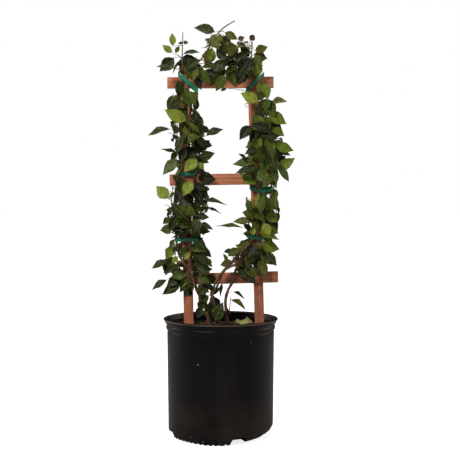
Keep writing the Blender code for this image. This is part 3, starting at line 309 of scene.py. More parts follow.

# Leaves that show from the front: where each one's stalk and tip stand in the camera's frame, how wide
# it looks there, and its tint
# A deep tint in these rows is painted shade.
SEEN = (
    (216.5, 33, 194.5, 27.5, 9.5, "dark"), (211.5, 33.8, 218.7, 49.3, 11, "olive"),
    (211.5, 41.5, 206.5, 44, 2.5, "dark"),
    (213, 46.5, 204.8, 65, 12, "lime"), (205, 53, 202, 58, 2, "dark"), (220.5, 51, 237, 46, 12.5, "olive"),
    (222.5, 48, 223, 38, 5, "bronze"), (222, 47.5, 216.5, 47.5, 3, "bronze"), (224, 32, 237.5, 39.5, 7, "olive"),
    (238, 40, 244.5, 37, 5, "bronze"), (238, 41, 240, 47, 3.5, "bronze"), (249, 42, 244, 42.5, 2, "dark"),
    (249.5, 41, 254.3, 35, 6, "bronze"), (251, 49.5, 243.5, 48.3, 3, "light"), (254, 51, 267.5, 47, 8, "olive"),
    (253, 54, 267, 58.5, 11, "bronze"), (255, 54.5, 261.5, 66, 9, "mid"), (257.5, 62.5, 257, 78, 9.5, "light"),
    (250, 57, 240.5, 48, 8, "dark"), (247.5, 53, 234, 61, 9, "dark"), (250.5, 56.5, 238, 76, 14, "deep"),
    (246, 69, 238, 85, 11, "deep"), (231, 63, 234.6, 85.5, 13.5, "mid"), (233, 57, 228, 61, 3, "dark"),
    (215, 52, 229, 58.5, 8, "deep"), (229, 60, 209, 74, 10, "dark"), (218, 75, 203, 72, 8.5, "deep"),
    (198, 69, 210.3, 82.5, 10, "mid"), (258.5, 81, 260.5, 93.5, 6, "light"), (263.5, 83, 266, 99, 7, "light"),
    (227, 88, 220.5, 91, 2.5, "dark"), (243, 62, 250, 71, 7, "deep"), (224, 65, 220, 78, 7, "dark"),
    (244, 52, 236, 68, 8, "deep"), (172.5, 47, 172, 33.3, 6, "lime"),
    (173, 53.5, 162.5, 45, 6, "lime"), (175, 53.5, 179.5, 46, 4, "olive"), (175, 57, 160, 71, 12, "dark"),
    (172, 68, 156.5, 66.8, 3, "dark"), (182.5, 55, 199.5, 52.5, 3.5, "dark"), (200, 59, 185.5, 69.5, 7, "dark"),
    (183, 42.5, 178, 43.5, 2.5, "dark"), (183, 42.5, 188.5, 42.5, 3.5, "bronze"),
    (199, 68, 193, 81, 6.5, "olive"), (180, 79, 178.5, 97.5, 8, "dark"), (183, 87, 189, 108, 8, "mid"),
    (188, 90, 195.5, 105, 8, "mid"), (188, 121, 165, 110, 12, "lime"), (190, 118.5, 175, 109, 9, "dark"),
    (193, 121, 194.5, 107, 5, "dark"), (260, 102, 241, 93, 10, "lime"), (263, 82, 268, 99, 8, "light"),
    (271, 102, 287, 101.5, 7, "olive"), (268, 98, 265, 111, 8, "mid"), (257, 104, 262, 122.5, 10, "dark"),
    (267.5, 112, 286, 124, 11, "light"), (251, 125, 239.5, 139.5, 10, "deep"),
    (172, 130, 148.5, 135.5, 4, "dark"), (178, 126, 174, 134, 8, "dark"), (184, 125, 186, 142, 5, "lime"),
    (197, 127, 211, 133, 6, "dark"), (205, 137, 223, 129.5, 5, "dark"), (200, 142, 212, 146, 8, "dark"),
    (199, 136, 204, 148, 7, "dark"), (198, 158, 214.5, 153, 9, "dark"), (177, 153, 160.5, 149, 3, "dark"),
    (178, 158, 163, 174.5, 9, "mid"), (186, 146, 180, 165, 8, "deep"), (197.5, 158.5, 184, 171.5, 10.5, "lime"),
    (197, 162, 204, 168.5, 6, "lime"), (193, 180.5, 183, 195.5, 10.5, "lime"),
    (197, 177, 215.5, 180, 12, "deep"), (170, 199.5, 156.5, 186.5, 11, "lime"),
    (172, 174, 178, 187, 5, "dark"), (196, 190, 209, 197, 10, "dark"), (202, 202, 227, 205, 4, "dark"),
    (204, 208, 221.5, 214, 3, "dark"), (196, 215, 209, 217.5, 7, "dark"), (176, 210, 166, 210.5, 4, "dark"),
    (178, 214, 170, 229, 9, "dark"), (174, 228, 160.5, 230.5, 9, "mid"), (170, 217, 163, 224, 6, "mid"),
    (197, 226, 213, 229.5, 5, "dark"), (197, 229, 210, 232, 6, "dark"), (262, 136, 254, 154, 9, "light"),
    (258, 145, 262, 165, 7, "mid"), (272.5, 146, 293.2, 150.6, 9.5, "light"), (272, 127, 284, 136, 8, "light"),
    (276, 150, 290.5, 155.5, 4, "dark"), (277, 169, 294.6, 158.3, 9.5, "light"),
    (276, 165, 288.5, 181.5, 8, "mid"), (258, 165, 233, 164.5, 8, "mid"), (258, 169, 236, 173, 6, "dark"),
    (246, 161, 238.5, 153.5, 3, "dark"), (257, 148, 245, 154, 7, "dark"), (256.5, 185, 240.5, 174, 9, "light"),
    (271, 187, 277, 168, 9, "mid"), (260.5, 193, 255, 208.5, 5, "lime"), (247, 198.5, 252, 211, 7, "mid"),
    (255, 216, 242.5, 212, 9, "olive"),
    (251, 222, 233.5, 221.8, 6, "olive"), (244.5, 229.5, 215.5, 226, 6, "olive"),
    (266, 212, 277, 222, 10, "light"), (263, 222, 270, 236, 9, "lime"), (268, 228, 278, 233, 8, "light"),
    (252, 226, 253.5, 235.5, 6.5, "lime"), (174, 245, 166, 259, 9, "light"), (170, 261.5, 152, 268.7, 5, "dark"),
    (174, 267, 163.5, 273, 6, "dark"), (188, 272, 171, 277, 10, "mid"), (168, 279.5, 152, 290, 7, "dark"),
    (183, 284, 162.5, 294, 10, "dark"), (180, 276, 167, 285, 9, "dark"), (195, 272, 212.5, 269, 8, "mid"),
    (200, 248, 211.5, 257, 7, "dark"), (197, 252, 208, 266, 8, "dark"), (196, 240, 206, 250, 8, "dark"),
    (193, 279, 189, 294, 7, "olive"), (197, 285, 209, 292, 9, "mid"), (206, 292, 199, 302, 8, "mid"),
    (203, 300, 198, 308, 6, "mid"), (212, 294, 214, 306, 6, "dark"),
    (223, 282, 220.5, 297, 4, "dark"), (229.5, 299.5, 245.5, 309.8, 4, "olive"),
    (232, 292, 245, 299.5, 2.5, "dark"), (229, 321, 228, 308, 5, "dark"), (264.5, 251, 276.5, 265.5, 9, "dark"),
    (261, 243, 279, 249.5, 12, "light"), (251, 265, 255, 278, 9, "olive"), (258, 258, 266.5, 277.5, 9, "olive"),
    (234, 262, 220.3, 265, 8, "mid"), (234, 250, 223.8, 251.8, 5, "dark"), (240, 248, 228, 256, 8, "mid"),
    (178, 256, 172, 263, 6, "lime"), (197, 276, 211, 283, 8, "mid"), (214, 296, 219, 309, 7, "deep"),
    (209, 300, 213, 314, 6, "deep"), (191, 288, 185, 297, 8, "deep"), (253, 244, 247, 258, 9, "deep"),
    (260, 246, 257, 259, 8, "mid"), (239, 268, 247, 281, 7, "dark"), (247, 277, 256, 283, 6, "dark"),
    (243, 262, 253, 270, 8, "deep"), (232, 256, 241, 250, 6, "dark"), (197, 258, 206, 247, 8, "deep"),
    (187, 245, 181, 258, 7, "mid"), (197, 266, 208, 274, 8, "dark"), (200, 282, 213, 290, 7, "deep"),
    (206, 309, 211, 322, 6, "dark"), (202, 309, 204.5, 315, 3, "lime"),
    (248, 240, 239, 246, 6, "mid"), (204, 276, 218, 281, 7, "dark"), (190, 251, 184, 260, 5, "lime"),
)

# The same for the leaves that stand before the foot of the stems
SEEN_BEFORE = (
    (214.5, 322.5, 222.5, 302.5, 12.5, "dark"), (208, 288.5, 198.5, 293.5, 7.5, "dark"),
    (209.5, 295, 200.5, 300.5, 7, "dark"), (208, 301.5, 199, 308, 7.5, "dark"), (213, 291, 207, 283, 5, "deep"),
    (213, 316, 207, 304, 6, "deep"),
)
BEFORE_DEPTHS = (-30, -11)

# Where the columns and the arch are closed: rows of the camera's frame, and the left and right end of each
COVER_HIGH_LEFT = ((88, 176, 194), (112, 170, 195), (126, 176, 200), (144, 178, 208), (152, 176, 207))
COVER_LEFT = (
    (152, 176, 207), (168, 170, 206), (186, 178, 206), (204, 174, 206), (222, 168, 200), (240, 176, 200),
    (252, 166, 206), (262, 160, 209), (272, 163, 212), (284, 166, 222),
    (290, 190, 222), (320, 203, 222),
)
COVER_RIGHT = (
    (84, 252, 264), (96, 252, 272), (112, 257, 274), (126, 254, 280), (144, 250, 280), (160, 246, 284),
    (178, 246, 280), (192, 256, 274), (208, 254, 274), (222, 244, 278), (240, 244, 276), (252, 228, 276),
    (262, 224, 270), (276, 236, 264),
)
COVER_ARCH = (
    (38, 207, 218), (44, 206, 234), (50, 208, 262), (57, 211, 262), (62, 209, 260), (68, 203, 259), (74, 198, 259),
    (80, 200, 258), (86, 238, 258),
)
COVER_TOP_LEFT = ((58, 180, 187), (66, 178, 196), (74, 176, 200), (84, 174, 200))
# The deep tint in these sets is painted shade for the shaded inside of the columns and the arch.
COVERS = (
    (COVER_ARCH, ("deep", "dark", "dark", "olive", "olive", "mid")),
    (COVER_TOP_LEFT, ("deep", "dark", "mid")),
    (COVER_HIGH_LEFT, ("deep", "deep", "dark", "dark", "dark", "mid", "dark", "deep")),
    (COVER_LEFT, ("deep", "deep", "dark", "dark", "deep", "mid", "dark", "mid")),
    (COVER_RIGHT, ("deep", "dark", "dark", "mid", "mid", "mid", "light", "olive")),
)

# Camera: where it stands, how far it looks down, and the frame it sees
CAMERA_PLACE = Vector((0.0233, -2.2, 0.5725))
CAMERA_PITCH = math.radians(1.63)
CAMERA_LENS = 68.87
SENSOR = 36.0
FRAME_SIDE = 460

LIGHT_TARGET = Vector((0.0, 0.0, 0.55))
WHITE = (1.0, 1.0, 1.0)
WARM_WHITE = (1.0, 0.97, 0.92)
AMBER = (1.0, 0.86, 0.74)
LIGHTS = (
    ("key", (-1.5, -2.1, 2.5), 0.8, 1.0, WARM_WHITE),
    ("fill_right", (1.9, -1.9, 1.7), 1.6, 0.22, WHITE),
    ("top", (0.2, 0.4, 3.2), 1.4, 0.35, WHITE),
    ("edge_left", (-2.3, 0.9, 1.0), 1.2, 0.26, AMBER),
    ("edge_right", (2.3, 0.9, 1.0), 1.2, 0.24, AMBER),
)

# Each tint's colour on the upper side and on the underside
TINTS = {
    # deep is painted shade: near-black greens that stand for leaves lying in shadow inside the plant.
    "deep": ((13, 19, 4), (48, 57, 22)),
    "dark": ((33, 43, 9), (66, 78, 28)),
    "mid": ((59, 74, 14), (86, 99, 34)),
    "light": ((89, 105, 21), (106, 118, 42)),
    "lime": ((119, 131, 40), (128, 138, 58)),
    "olive": ((78, 77, 22), (100, 102, 40)),
    "bronze": ((76, 58, 28), (100, 86, 42)),
}

Twig = namedtuple("Twig", "points radii")
Leaf = namedtuple("Leaf", "root along face length width droop tint phase")


def linear(colour):
    """A colour given in eight bit screen values, as a linear one."""
    shares = [channel / 255 for channel in colour]
    return tuple(share / 12.92 if share <= 0.04045 else ((share + 0.055) / 1.055) ** 2.4 for share in shares)


def perpendicular(vector, axis):
    return (vector - axis * vector.dot(axis)).normalized()


def heading(degrees):
    turn = math.radians(degrees)
    return Vector((math.cos(turn), math.sin(turn), 0.0))


def seen_at(column, row, depth):
    """The point at a depth that shows at a column and row of the camera's frame."""
    focal = CAMERA_LENS / SENSOR * FRAME_SIDE
    across = (column - 0.5 * FRAME_SIDE) / focal
    down = (row - 0.5 * FRAME_SIDE) / focal
    ray = Vector((across, math.cos(CAMERA_PITCH) - down * math.sin(CAMERA_PITCH),
                  -math.sin(CAMERA_PITCH) - down * math.cos(CAMERA_PITCH)))
    return CAMERA_PLACE + ray * ((depth - CAMERA_PLACE.y) / ray.y)


def place_in_frame(point):
    """The column and row of the camera's frame where a point shows."""
    away = point - CAMERA_PLACE
    ahead = away.y * math.cos(CAMERA_PITCH) - away.z * math.sin(CAMERA_PITCH)
    above = away.y * math.sin(CAMERA_PITCH) + away.z * math.cos(CAMERA_PITCH)
    scale = CAMERA_LENS / SENSOR * FRAME_SIDE / ahead
    return 0.5 * FRAME_SIDE + away.x * scale, 0.5 * FRAME_SIDE - above * scale


def in_outline(point):
    """Whether a point shows inside one of the spans that the plant fills."""
    column, row = place_in_frame(point)
    for rows, _ in COVERS:
        lines, lefts, rights = zip(*rows)
        if lines[0] - OUTLINE_SLACK < row < lines[-1] + OUTLINE_SLACK:
            left, right = np.interp(row, lines, lefts), np.interp(row, lines, rights)
            if left - OUTLINE_SLACK < column < right + OUTLINE_SLACK:
                return True
    return False


# Nodes


def put(tree, socket, value):
    """Links a socket to another one, or gives it a plain value. A colour is given by three channels."""
    if isinstance(value, bpy.types.NodeSocket):
        tree.links.new(value, socket)
    else:
        socket.default_value = (*value, 1.0) if socket.type == "RGBA" else value


def node_in(tree, kind, inputs=None, **settings):
    """Adds a node with its settings, and with links or plain values for its inputs."""
    made = tree.nodes.new(kind)
    for name, value in settings.items():
        setattr(made, name, value)
    for key, value in (inputs or {}).items():
        put(tree, made.inputs[key], value)
    return made


def math_in(tree, operation, *values):
    return node_in(tree, "ShaderNodeMath", dict(enumerate(values)), operation=operation).outputs[0]


def product_in(tree, first, *others):
    for other in others:
        first = math_in(tree, "MULTIPLY", first, other)
    return first


def mix_in(tree, factor, first, second):
    """A colour mix. Each of factor, first and second is a socket or a plain value."""
    made = node_in(tree, "ShaderNodeMix", data_type="RGBA")
    for socket in made.inputs:
        named = {"Factor_Float": factor, "A_Color": first, "B_Color": second}
        if socket.identifier in named:
            put(tree, socket, named[socket.identifier])
    return next(socket for socket in made.outputs if socket.identifier == "Result_Color")


def range_in(tree, value, low, high, to_low=0.0, to_high=1.0):
    limits = {"Value": value, "From Min": low, "From Max": high, "To Min": to_low, "To Max": to_high}
    return node_in(tree, "ShaderNodeMapRange", limits).outputs["Result"]


def noise_in(tree, vector, scale, detail=2.0, stretch=None):
    """A noise value over a vector, which is first stretched by a scale along each axis."""
    if stretch:
        vector = node_in(tree, "ShaderNodeMapping", {"Vector": vector, "Scale": stretch}).outputs["Vector"]
    return node_in(tree, "ShaderNodeTexNoise", {"Vector": vector, "Scale": scale, "Detail": detail}).outputs[0]


def place_in(tree):
    return node_in(tree, "ShaderNodeTexCoord").outputs["Object"]


def new_group(name, colours, amounts, vector=True):
    """A shader node group without nodes yet, and the sockets it is given: a vector, colours and amounts."""
    group = bpy.data.node_groups.new(name, "ShaderNodeTree")
    if vector:
        group.interface.new_socket("Vector", in_out="INPUT", socket_type="NodeSocketVector")
    for label in colours:
        group.interface.new_socket(label, in_out="INPUT", socket_type="NodeSocketColor")
    for label, default in amounts.items():
        socket = group.interface.new_socket(label, in_out="INPUT", socket_type="NodeSocketFloat")
        socket.default_value = default
    for label, kind in (("Colour", "Color"), ("Roughness", "Float"), ("Height", "Float")):
        group.interface.new_socket(label, in_out="OUTPUT", socket_type="NodeSocket" + kind)
    return group, group.nodes.new("NodeGroupInput").outputs


def closed_group(group, colour, roughness, height):
    node_in(group, "NodeGroupOutput", {"Colour": colour, "Roughness": roughness, "Height": height})
    return group


@cache
def grain_group():
    """Sawn wood: streaks along the first axis of the vector, dark rings and pale worn patches."""
    group, given = new_group("Sawn Grain", ("Early Wood", "Late Wood", "Stain"), {"Streaks": 60.0})
    fine = noise_in(group, given["Vector"], given["Streaks"], 4.0, (0.06, 2.2, 2.2))
    broad = noise_in(group, given["Vector"], 14.0, 2.0, (0.12, 1.6, 1.6))
    patch = noise_in(group, given["Vector"], 9.0, 3.0, (0.8, 1.0, 1.0))
    colour = mix_in(group, range_in(group, fine, 0.36, 0.66), given["Late Wood"], given["Early Wood"])
    colour = mix_in(group, range_in(group, broad, 0.5, 0.62, 0.0, 0.55), colour, given["Stain"])
    colour = mix_in(group, range_in(group, patch, 0.45, 0.75, 0.0, 0.35), colour, given["Early Wood"])
    return closed_group(group, colour, range_in(group, fine, 0.2, 0.8, 0.78, 0.6), fine)


@cache
def bark_group():
    """Thin bark: lengthwise cracks, and pale patches and spots."""
    group, given = new_group("Vine Bark", ("Bark", "Crack", "Bloom"), {"Scale": 400.0, "Pale": 0.55})
    crack = noise_in(group, given["Vector"], given["Scale"], 4.0, (1.0, 1.0, 0.22))
    patch = noise_in(group, given["Vector"], 60.0, 3.0)
    spot = noise_in(group, given["Vector"], 700.0, 1.0)
    colour = mix_in(group, range_in(group, crack, 0.36, 0.6), given["Crack"], given["Bark"])
    pale = product_in(group, range_in(group, patch, 0.45, 0.7), given["Pale"])
    colour = mix_in(group, pale, colour, given["Bloom"])
    colour = mix_in(group, range_in(group, spot, 0.66, 0.72, 0.0, 0.5), colour, given["Bloom"])
    return closed_group(group, colour, range_in(group, crack, 0.3, 0.7, 0.85, 0.6), crack)


@cache
def vein_group():
    """A blade's midrib, side veins, mottle and painted shade along its rim. Its UV map runs across it by U and
    along it by V.
    """
    group, given = new_group("Leaf Veins", ("Blade", "Vein"), {"Strength": 0.5, "Mottle": 0.3}, vector=False)
    uv = node_in(group, "ShaderNodeUVMap", uv_map="blade").outputs["UV"]
    across, along, _ = node_in(group, "ShaderNodeSeparateXYZ", {0: uv}).outputs
    off_rib = product_in(group, math_in(group, "ABSOLUTE", math_in(group, "SUBTRACT", across, 0.5)), 2.0)
    rib = range_in(group, off_rib, 0.02, 0.07, 1.0, 0.0)
    climb = math_in(group, "SUBTRACT", product_in(group, along, 9.0), product_in(group, off_rib, 1.7))
    wave = math_in(group, "ABSOLUTE", math_in(group, "SUBTRACT", math_in(group, "FRACT", climb), 0.5))
    side = product_in(group, range_in(group, wave, 0.36, 0.5), range_in(group, off_rib, 0.7, 1.0, 0.6, 0.0))
    vein = product_in(group, math_in(group, "MAXIMUM", rib, side), given["Strength"])
    patch = noise_in(group, place_in(group), 110.0)
    shade = product_in(group, range_in(group, patch, 0.35, 0.7), given["Mottle"])
    darker = node_in(group, "ShaderNodeHueSaturation", {"Value": 0.4, "Color": given["Blade"]}).outputs["Color"]
    colour = mix_in(group, shade, given["Blade"], darker)
    # Painted shade: the blade darkens towards its rim, where shade falls at the curled edges.
    colour = mix_in(group, range_in(group, off_rib, 0.7, 1.0, 0.0, 0.75), colour, darker)
    colour = mix_in(group, vein, colour, given["Vein"])
    height = math_in(group, "ADD", product_in(group, vein, 0.35), patch)
    return closed_group(group, colour, range_in(group, patch, 0.3, 0.7, 0.36, 0.52), height)


@cache
def dust_and_rim_highlight_group():
    """Dry soil dust over plastic: streaks that run down, more of it towards the foot, and a painted highlight
    along the lip.
    """
    group, given = new_group("Soil Dust", ("Clean", "Dust", "Scuff"), {"Amount": 0.4, "Foot": 0.1})
    vector = given["Vector"]
    height = node_in(group, "ShaderNodeSeparateXYZ", {0: vector}).outputs["Z"]
    streak = noise_in(group, vector, 26.0, 4.0, (1.0, 1.0, 0.18))
    cloud = noise_in(group, vector, 11.0, 4.0)
    speck = noise_in(group, vector, 420.0, 1.0)
    amount = product_in(group, range_in(group, streak, 0.42, 0.75), range_in(group, cloud, 0.4, 0.7),
                        given["Amount"])
    foot = product_in(group, range_in(group, height, 0.0, 0.12, 1.0, 0.0), range_in(group, cloud, 0.35, 0.65),
                      given["Foot"])
    dots = product_in(group, range_in(group, speck, 0.7, 0.76, 0.0, 0.35),
                      range_in(group, height, 0.0, 0.05, 1.0, 0.12))
    total = math_in(group, "MINIMUM", math_in(group, "ADD", math_in(group, "ADD", amount, foot), dots), 1.0)
    # Painted highlight: a pale band just under the top of the lip, in the scuff colour.
    low, high = RIM_HIGHLIGHT_DROPS
    painted_rim_highlight = product_in(group, range_in(group, height, POT_HEIGHT - low, POT_HEIGHT - low + 1.6 * MM),
                        range_in(group, height, POT_HEIGHT - high - 1.5 * MM, POT_HEIGHT - high, 1.0, 0.0),
                        range_in(group, cloud, 0.3, 0.7, 0.25, 0.7))
    colour = mix_in(group, total, given["Clean"], given["Dust"])
    colour = mix_in(group, painted_rim_highlight, colour, given["Scuff"])
    for column, row, size in SCUFFS:
        place = seen_at(column, row, SCUFF_DEPTH)
        centre = (place.x, -math.sqrt(SCUFF_RADIUS**2 - place.x**2), place.z)
        away = node_in(group, "ShaderNodeVectorMath", {0: vector, 1: centre}, operation="DISTANCE")
        mark = range_in(group, away.outputs["Value"], size * MM, (size + 1.4) * MM, 0.75, 0.0)
        colour = mix_in(group, mark, colour, given["Scuff"])
    return closed_group(group, colour, range_in(group, total, 0.0, 0.5, 0.42, 0.8), streak)


def new_material(name):
    material = bpy.data.materials.new(name)
    material.use_nodes = True
    return material, material.node_tree, material.node_tree.nodes["Principled BSDF"]


def finish_shader(tree, shader, colour, roughness, height=None, bump=0.2, distance=1.0 * MM):
    """Gives a shader its colour, its roughness and, from a height, its relief."""
    put(tree, shader.inputs["Base Color"], colour)
    put(tree, shader.inputs["Roughness"], roughness)
    if height:
        relief = node_in(tree, "ShaderNodeBump", {"Strength": bump, "Distance": distance, "Height": height})
        put(tree, shader.inputs["Normal"], relief.outputs["Normal"])


def grouped_material(name, group, values, specular=0.5, bump=0.2, distance=1.0 * MM, turn=None):
    """A material whose colour, roughness and relief come from one group, over object coordinates."""
    material, tree, shader = new_material(name)
    shader.inputs["Specular IOR Level"].default_value = specular
    placed = node_in(tree, "ShaderNodeGroup", node_tree=group)
    for label, value in values.items():
        put(tree, placed.inputs[label], value)
    if "Vector" in placed.inputs:
        vector = place_in(tree)
        if turn:
            vector = node_in(tree, "ShaderNodeMapping", {"Vector": vector, "Rotation": turn}).outputs["Vector"]
        put(tree, placed.inputs["Vector"], vector)
    results = placed.outputs
    finish_shader(tree, shader, results["Colour"], results["Roughness"], results["Height"], bump, distance)
    return material


def bark_material(name, colours, scale, specular, bump, distance, pale=0.55):
    """Bark in three colours: its own, that of its cracks, and that of its pale patches and spots."""
    values = {"Scale": scale, "Pale": pale}
    values.update(zip(("Bark", "Crack", "Bloom"), (tuple(colour) for colour in colours)))
    return grouped_material(name, bark_group(), values, specular, bump, distance)


# Meshes


def add_object(name, data):
    made = bpy.data.objects.new(name, data)
    bpy.context.scene.collection.objects.link(made)
    return made


def piece(name, mesh, replaced=(), materials=()):
    """Adds a finished mesh as a piece that rides on the plant's one body."""
    made = add_object(name, mesh)
    for material in materials:
        mesh.materials.append(material)
    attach(made, "root")
    if replaced:
        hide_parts(*replaced)


def baked_mesh(name, made):
    """The mesh of an object with its modifiers applied. The object itself is removed."""
    bpy.context.view_layer.update()
    mesh = bpy.data.meshes.new_from_object(made.evaluated_get(bpy.context.evaluated_depsgraph_get()))
    bpy.data.objects.remove(made, do_unlink=True)
    mesh.name = name
    return mesh


def mesh_from(name, bm):
    """The mesh of a finished bmesh, with its faces turned outwards."""
    bmesh.ops.recalc_face_normals(bm, faces=bm.faces)
    mesh = bpy.data.meshes.new(name)
    bm.to_mesh(mesh)
    bm.free()
    return mesh


def fix_normals(mesh):
    """Joins corners that coincide and turns the faces outwards."""
    bm = bmesh.new()
    bm.from_mesh(mesh)
    bmesh.ops.remove_doubles(bm, verts=bm.verts, dist=0.001 * MM)
    bmesh.ops.recalc_face_normals(bm, faces=bm.faces)
    bm.to_mesh(mesh)
    bm.free()


def mesh_of(name, points, faces, smooth=True):
    mesh = bpy.data.meshes.new(name)
    mesh.from_pydata([tuple(point) for point in points], [], faces)
    mesh.validate()
    if smooth:
        mesh.shade_smooth()
    return mesh


def smooth_route(points, step):
    """Points about one step apart on a smooth curve through the given ones."""
    padded = [2 * points[0] - points[1]] + list(points) + [2 * points[-1] - points[-2]]
    route = [points[0].copy()]
    for before, start, end, after in zip(padded, padded[1:], padded[2:], padded[3:]):
        count = max(1, round((end - start).length / step))
        for index in range(1, count + 1):
            t = index / count
            linear_part = (end - before) * t
            square = (2 * before - 5 * start + 4 * end - after) * t * t
            cube = (3 * start - before - 3 * end + after) * t * t * t
            route.append(start + 0.5 * (linear_part + square + cube))
    return route


def walked(points, step):
    """Points about one step apart along straight runs between the given points."""
    dense = [points[0].copy()]
    for start, end in zip(points, points[1:]):
        count = max(1, round((end - start).length / step))
        dense += [start.lerp(end, (index + 1) / count) for index in range(count)]
    return dense


def run_along(points):
    """The length of a route up to each of its points."""
    lengths = [0.0]
    for start, end in zip(points, points[1:]):
        lengths.append(lengths[-1] + (end - start).length)
    return lengths


def limb_twig(limb):
    """The centre line and radii of a limb, with its twist round the shared route and its root flare."""
    twisted = limb.twist is not None
    route = smooth_route([Vector(point) * MM for point in limb.route], TWIST_STEP if twisted else LIMB_STEP)
    lengths = run_along(route)
    points, radii = [], []
    for index, (point, length) in enumerate(zip(route, lengths)):
        share = length / lengths[-1]
        radius = limb.base_radius + (limb.tip_radius - limb.base_radius) * share**0.8
        flare = FLARE * math.exp(-length / FLARE_HEIGHT) if limb.flared else 0.0
        if twisted:
            climbed = min(1.0, (point.z - SOIL_LEVEL) / (TWIST_END - SOIL_LEVEL))
            turn = limb.twist + 2 * math.pi * TWIST_TURNS * climbed
            fade = max(0.0, 1.0 - max(0.0, point.z - TWIST_END) / TWIST_FADE)
            tangent = (route[min(index + 1, len(route) - 1)] - route[max(index - 1, 0)]).normalized()
            deep = perpendicular(Vector((0.0, 1.0, 0.0)), tangent)
            across = deep.cross(tangent)
            point = point + fade * TWIST_RADIUS * (across * math.cos(turn) + deep * math.sin(turn))
        points.append(point)
        radii.append(radius * (1.0 + flare))
    points[1].x, points[1].y = points[0].x, points[0].y
    points[0].z = limb.route[0][2] * MM
    return Twig(points, radii)


def tube(points, radii, sides, relief=None):
    """The corners and faces of a closed tube. Relief gives a share of the radius at a place and turn."""
    corners, faces = [], []
    side = perpendicular(Vector((1.0, 0.3, 0.1)), (points[1] - points[0]).normalized())
    last = len(points) - 1
    for index, (point, radius) in enumerate(zip(points, radii)):
        tangent = (points[min(index + 1, last)] - points[max(index - 1, 0)]).normalized()
        side = perpendicular(side, tangent)
        other = tangent.cross(side)
        for step in range(sides):
            turn = 2 * math.pi * step / sides
            share = relief(index, turn) if relief else 1.0
            corners.append(point + (side * math.cos(turn) + other * math.sin(turn)) * radius * share)
    for index in range(last):
        low, high = index * sides, (index + 1) * sides
        for step in range(sides):
            after = (step + 1) % sides
            faces.append((low + step, low + after, high + after, high + step))
    foot, tip = len(corners), len(corners) + 1
    corners += [points[0], points[-1] + (points[-1] - points[-2]).normalized() * 0.5 * radii[-1]]
    for step in range(sides):
        after = (step + 1) % sides
        faces.append((foot, after, step))
        faces.append((tip, last * sides + step, last * sides + after))
    return corners, faces


def resampled(twig, step):
    """The same centre line and radii with points about one step apart, on a smooth curve."""
    points = smooth_route(twig.points, step)
    lengths, places = run_along(points), run_along(twig.points)
    scale = places[-1] / lengths[-1]
    radii = np.interp([length * scale for length in lengths], places, twig.radii)
    return points, [float(radius) for radius in radii], lengths


class Growth:
    """A mesh that many tubes or blades are gathered into."""

    def __init__(self):
        self.points, self.faces, self.slots, self.uvs = [], [], [], []

    def add(self, points, faces, slots=None, uvs=None):
        start = len(self.points)
        self.points += points
        self.faces += [tuple(start + corner for corner in face) for face in faces]
        self.slots += slots or [0] * len(faces)
        self.uvs += uvs or [(0.0, 0.0)] * len(points)

    def mesh(self, name, sharp_rims=False):
        mesh = bpy.data.meshes.new(name)
        mesh.from_pydata([tuple(point) for point in self.points], [], self.faces)
        mesh.polygons.foreach_set("material_index", self.slots)
        layer = mesh.uv_layers.new(name="blade")
        corners = np.zeros(len(mesh.loops), dtype=np.int32)
        mesh.loops.foreach_get("vertex_index", corners)
        layer.data.foreach_set("uv", np.array(self.uvs, dtype=np.float32)[corners].ravel())
        mesh.shade_smooth()
        if sharp_rims:
            self.sharpen(mesh)
        return mesh

    def sharpen(self, mesh):
        """Marks the edges between the two faces of each blade, so that each side shades by itself."""
        slots_at = defaultdict(set)
        for face, slot in zip(self.faces, self.slots):
            for ends in zip(face, face[1:] + face[:1]):
                slots_at[frozenset(ends)].add(slot)
        for edge in mesh.edges:
            edge.use_edge_sharp = len(slots_at[frozenset(edge.vertices)]) > 1


# Pot and bark mix


def edge_points(radius, height, *offsets):
    """Points of a section, each given in millimetres out from a radius and up from a height."""
    return [(radius + out * MM, height + up * MM) for out, up in offsets]


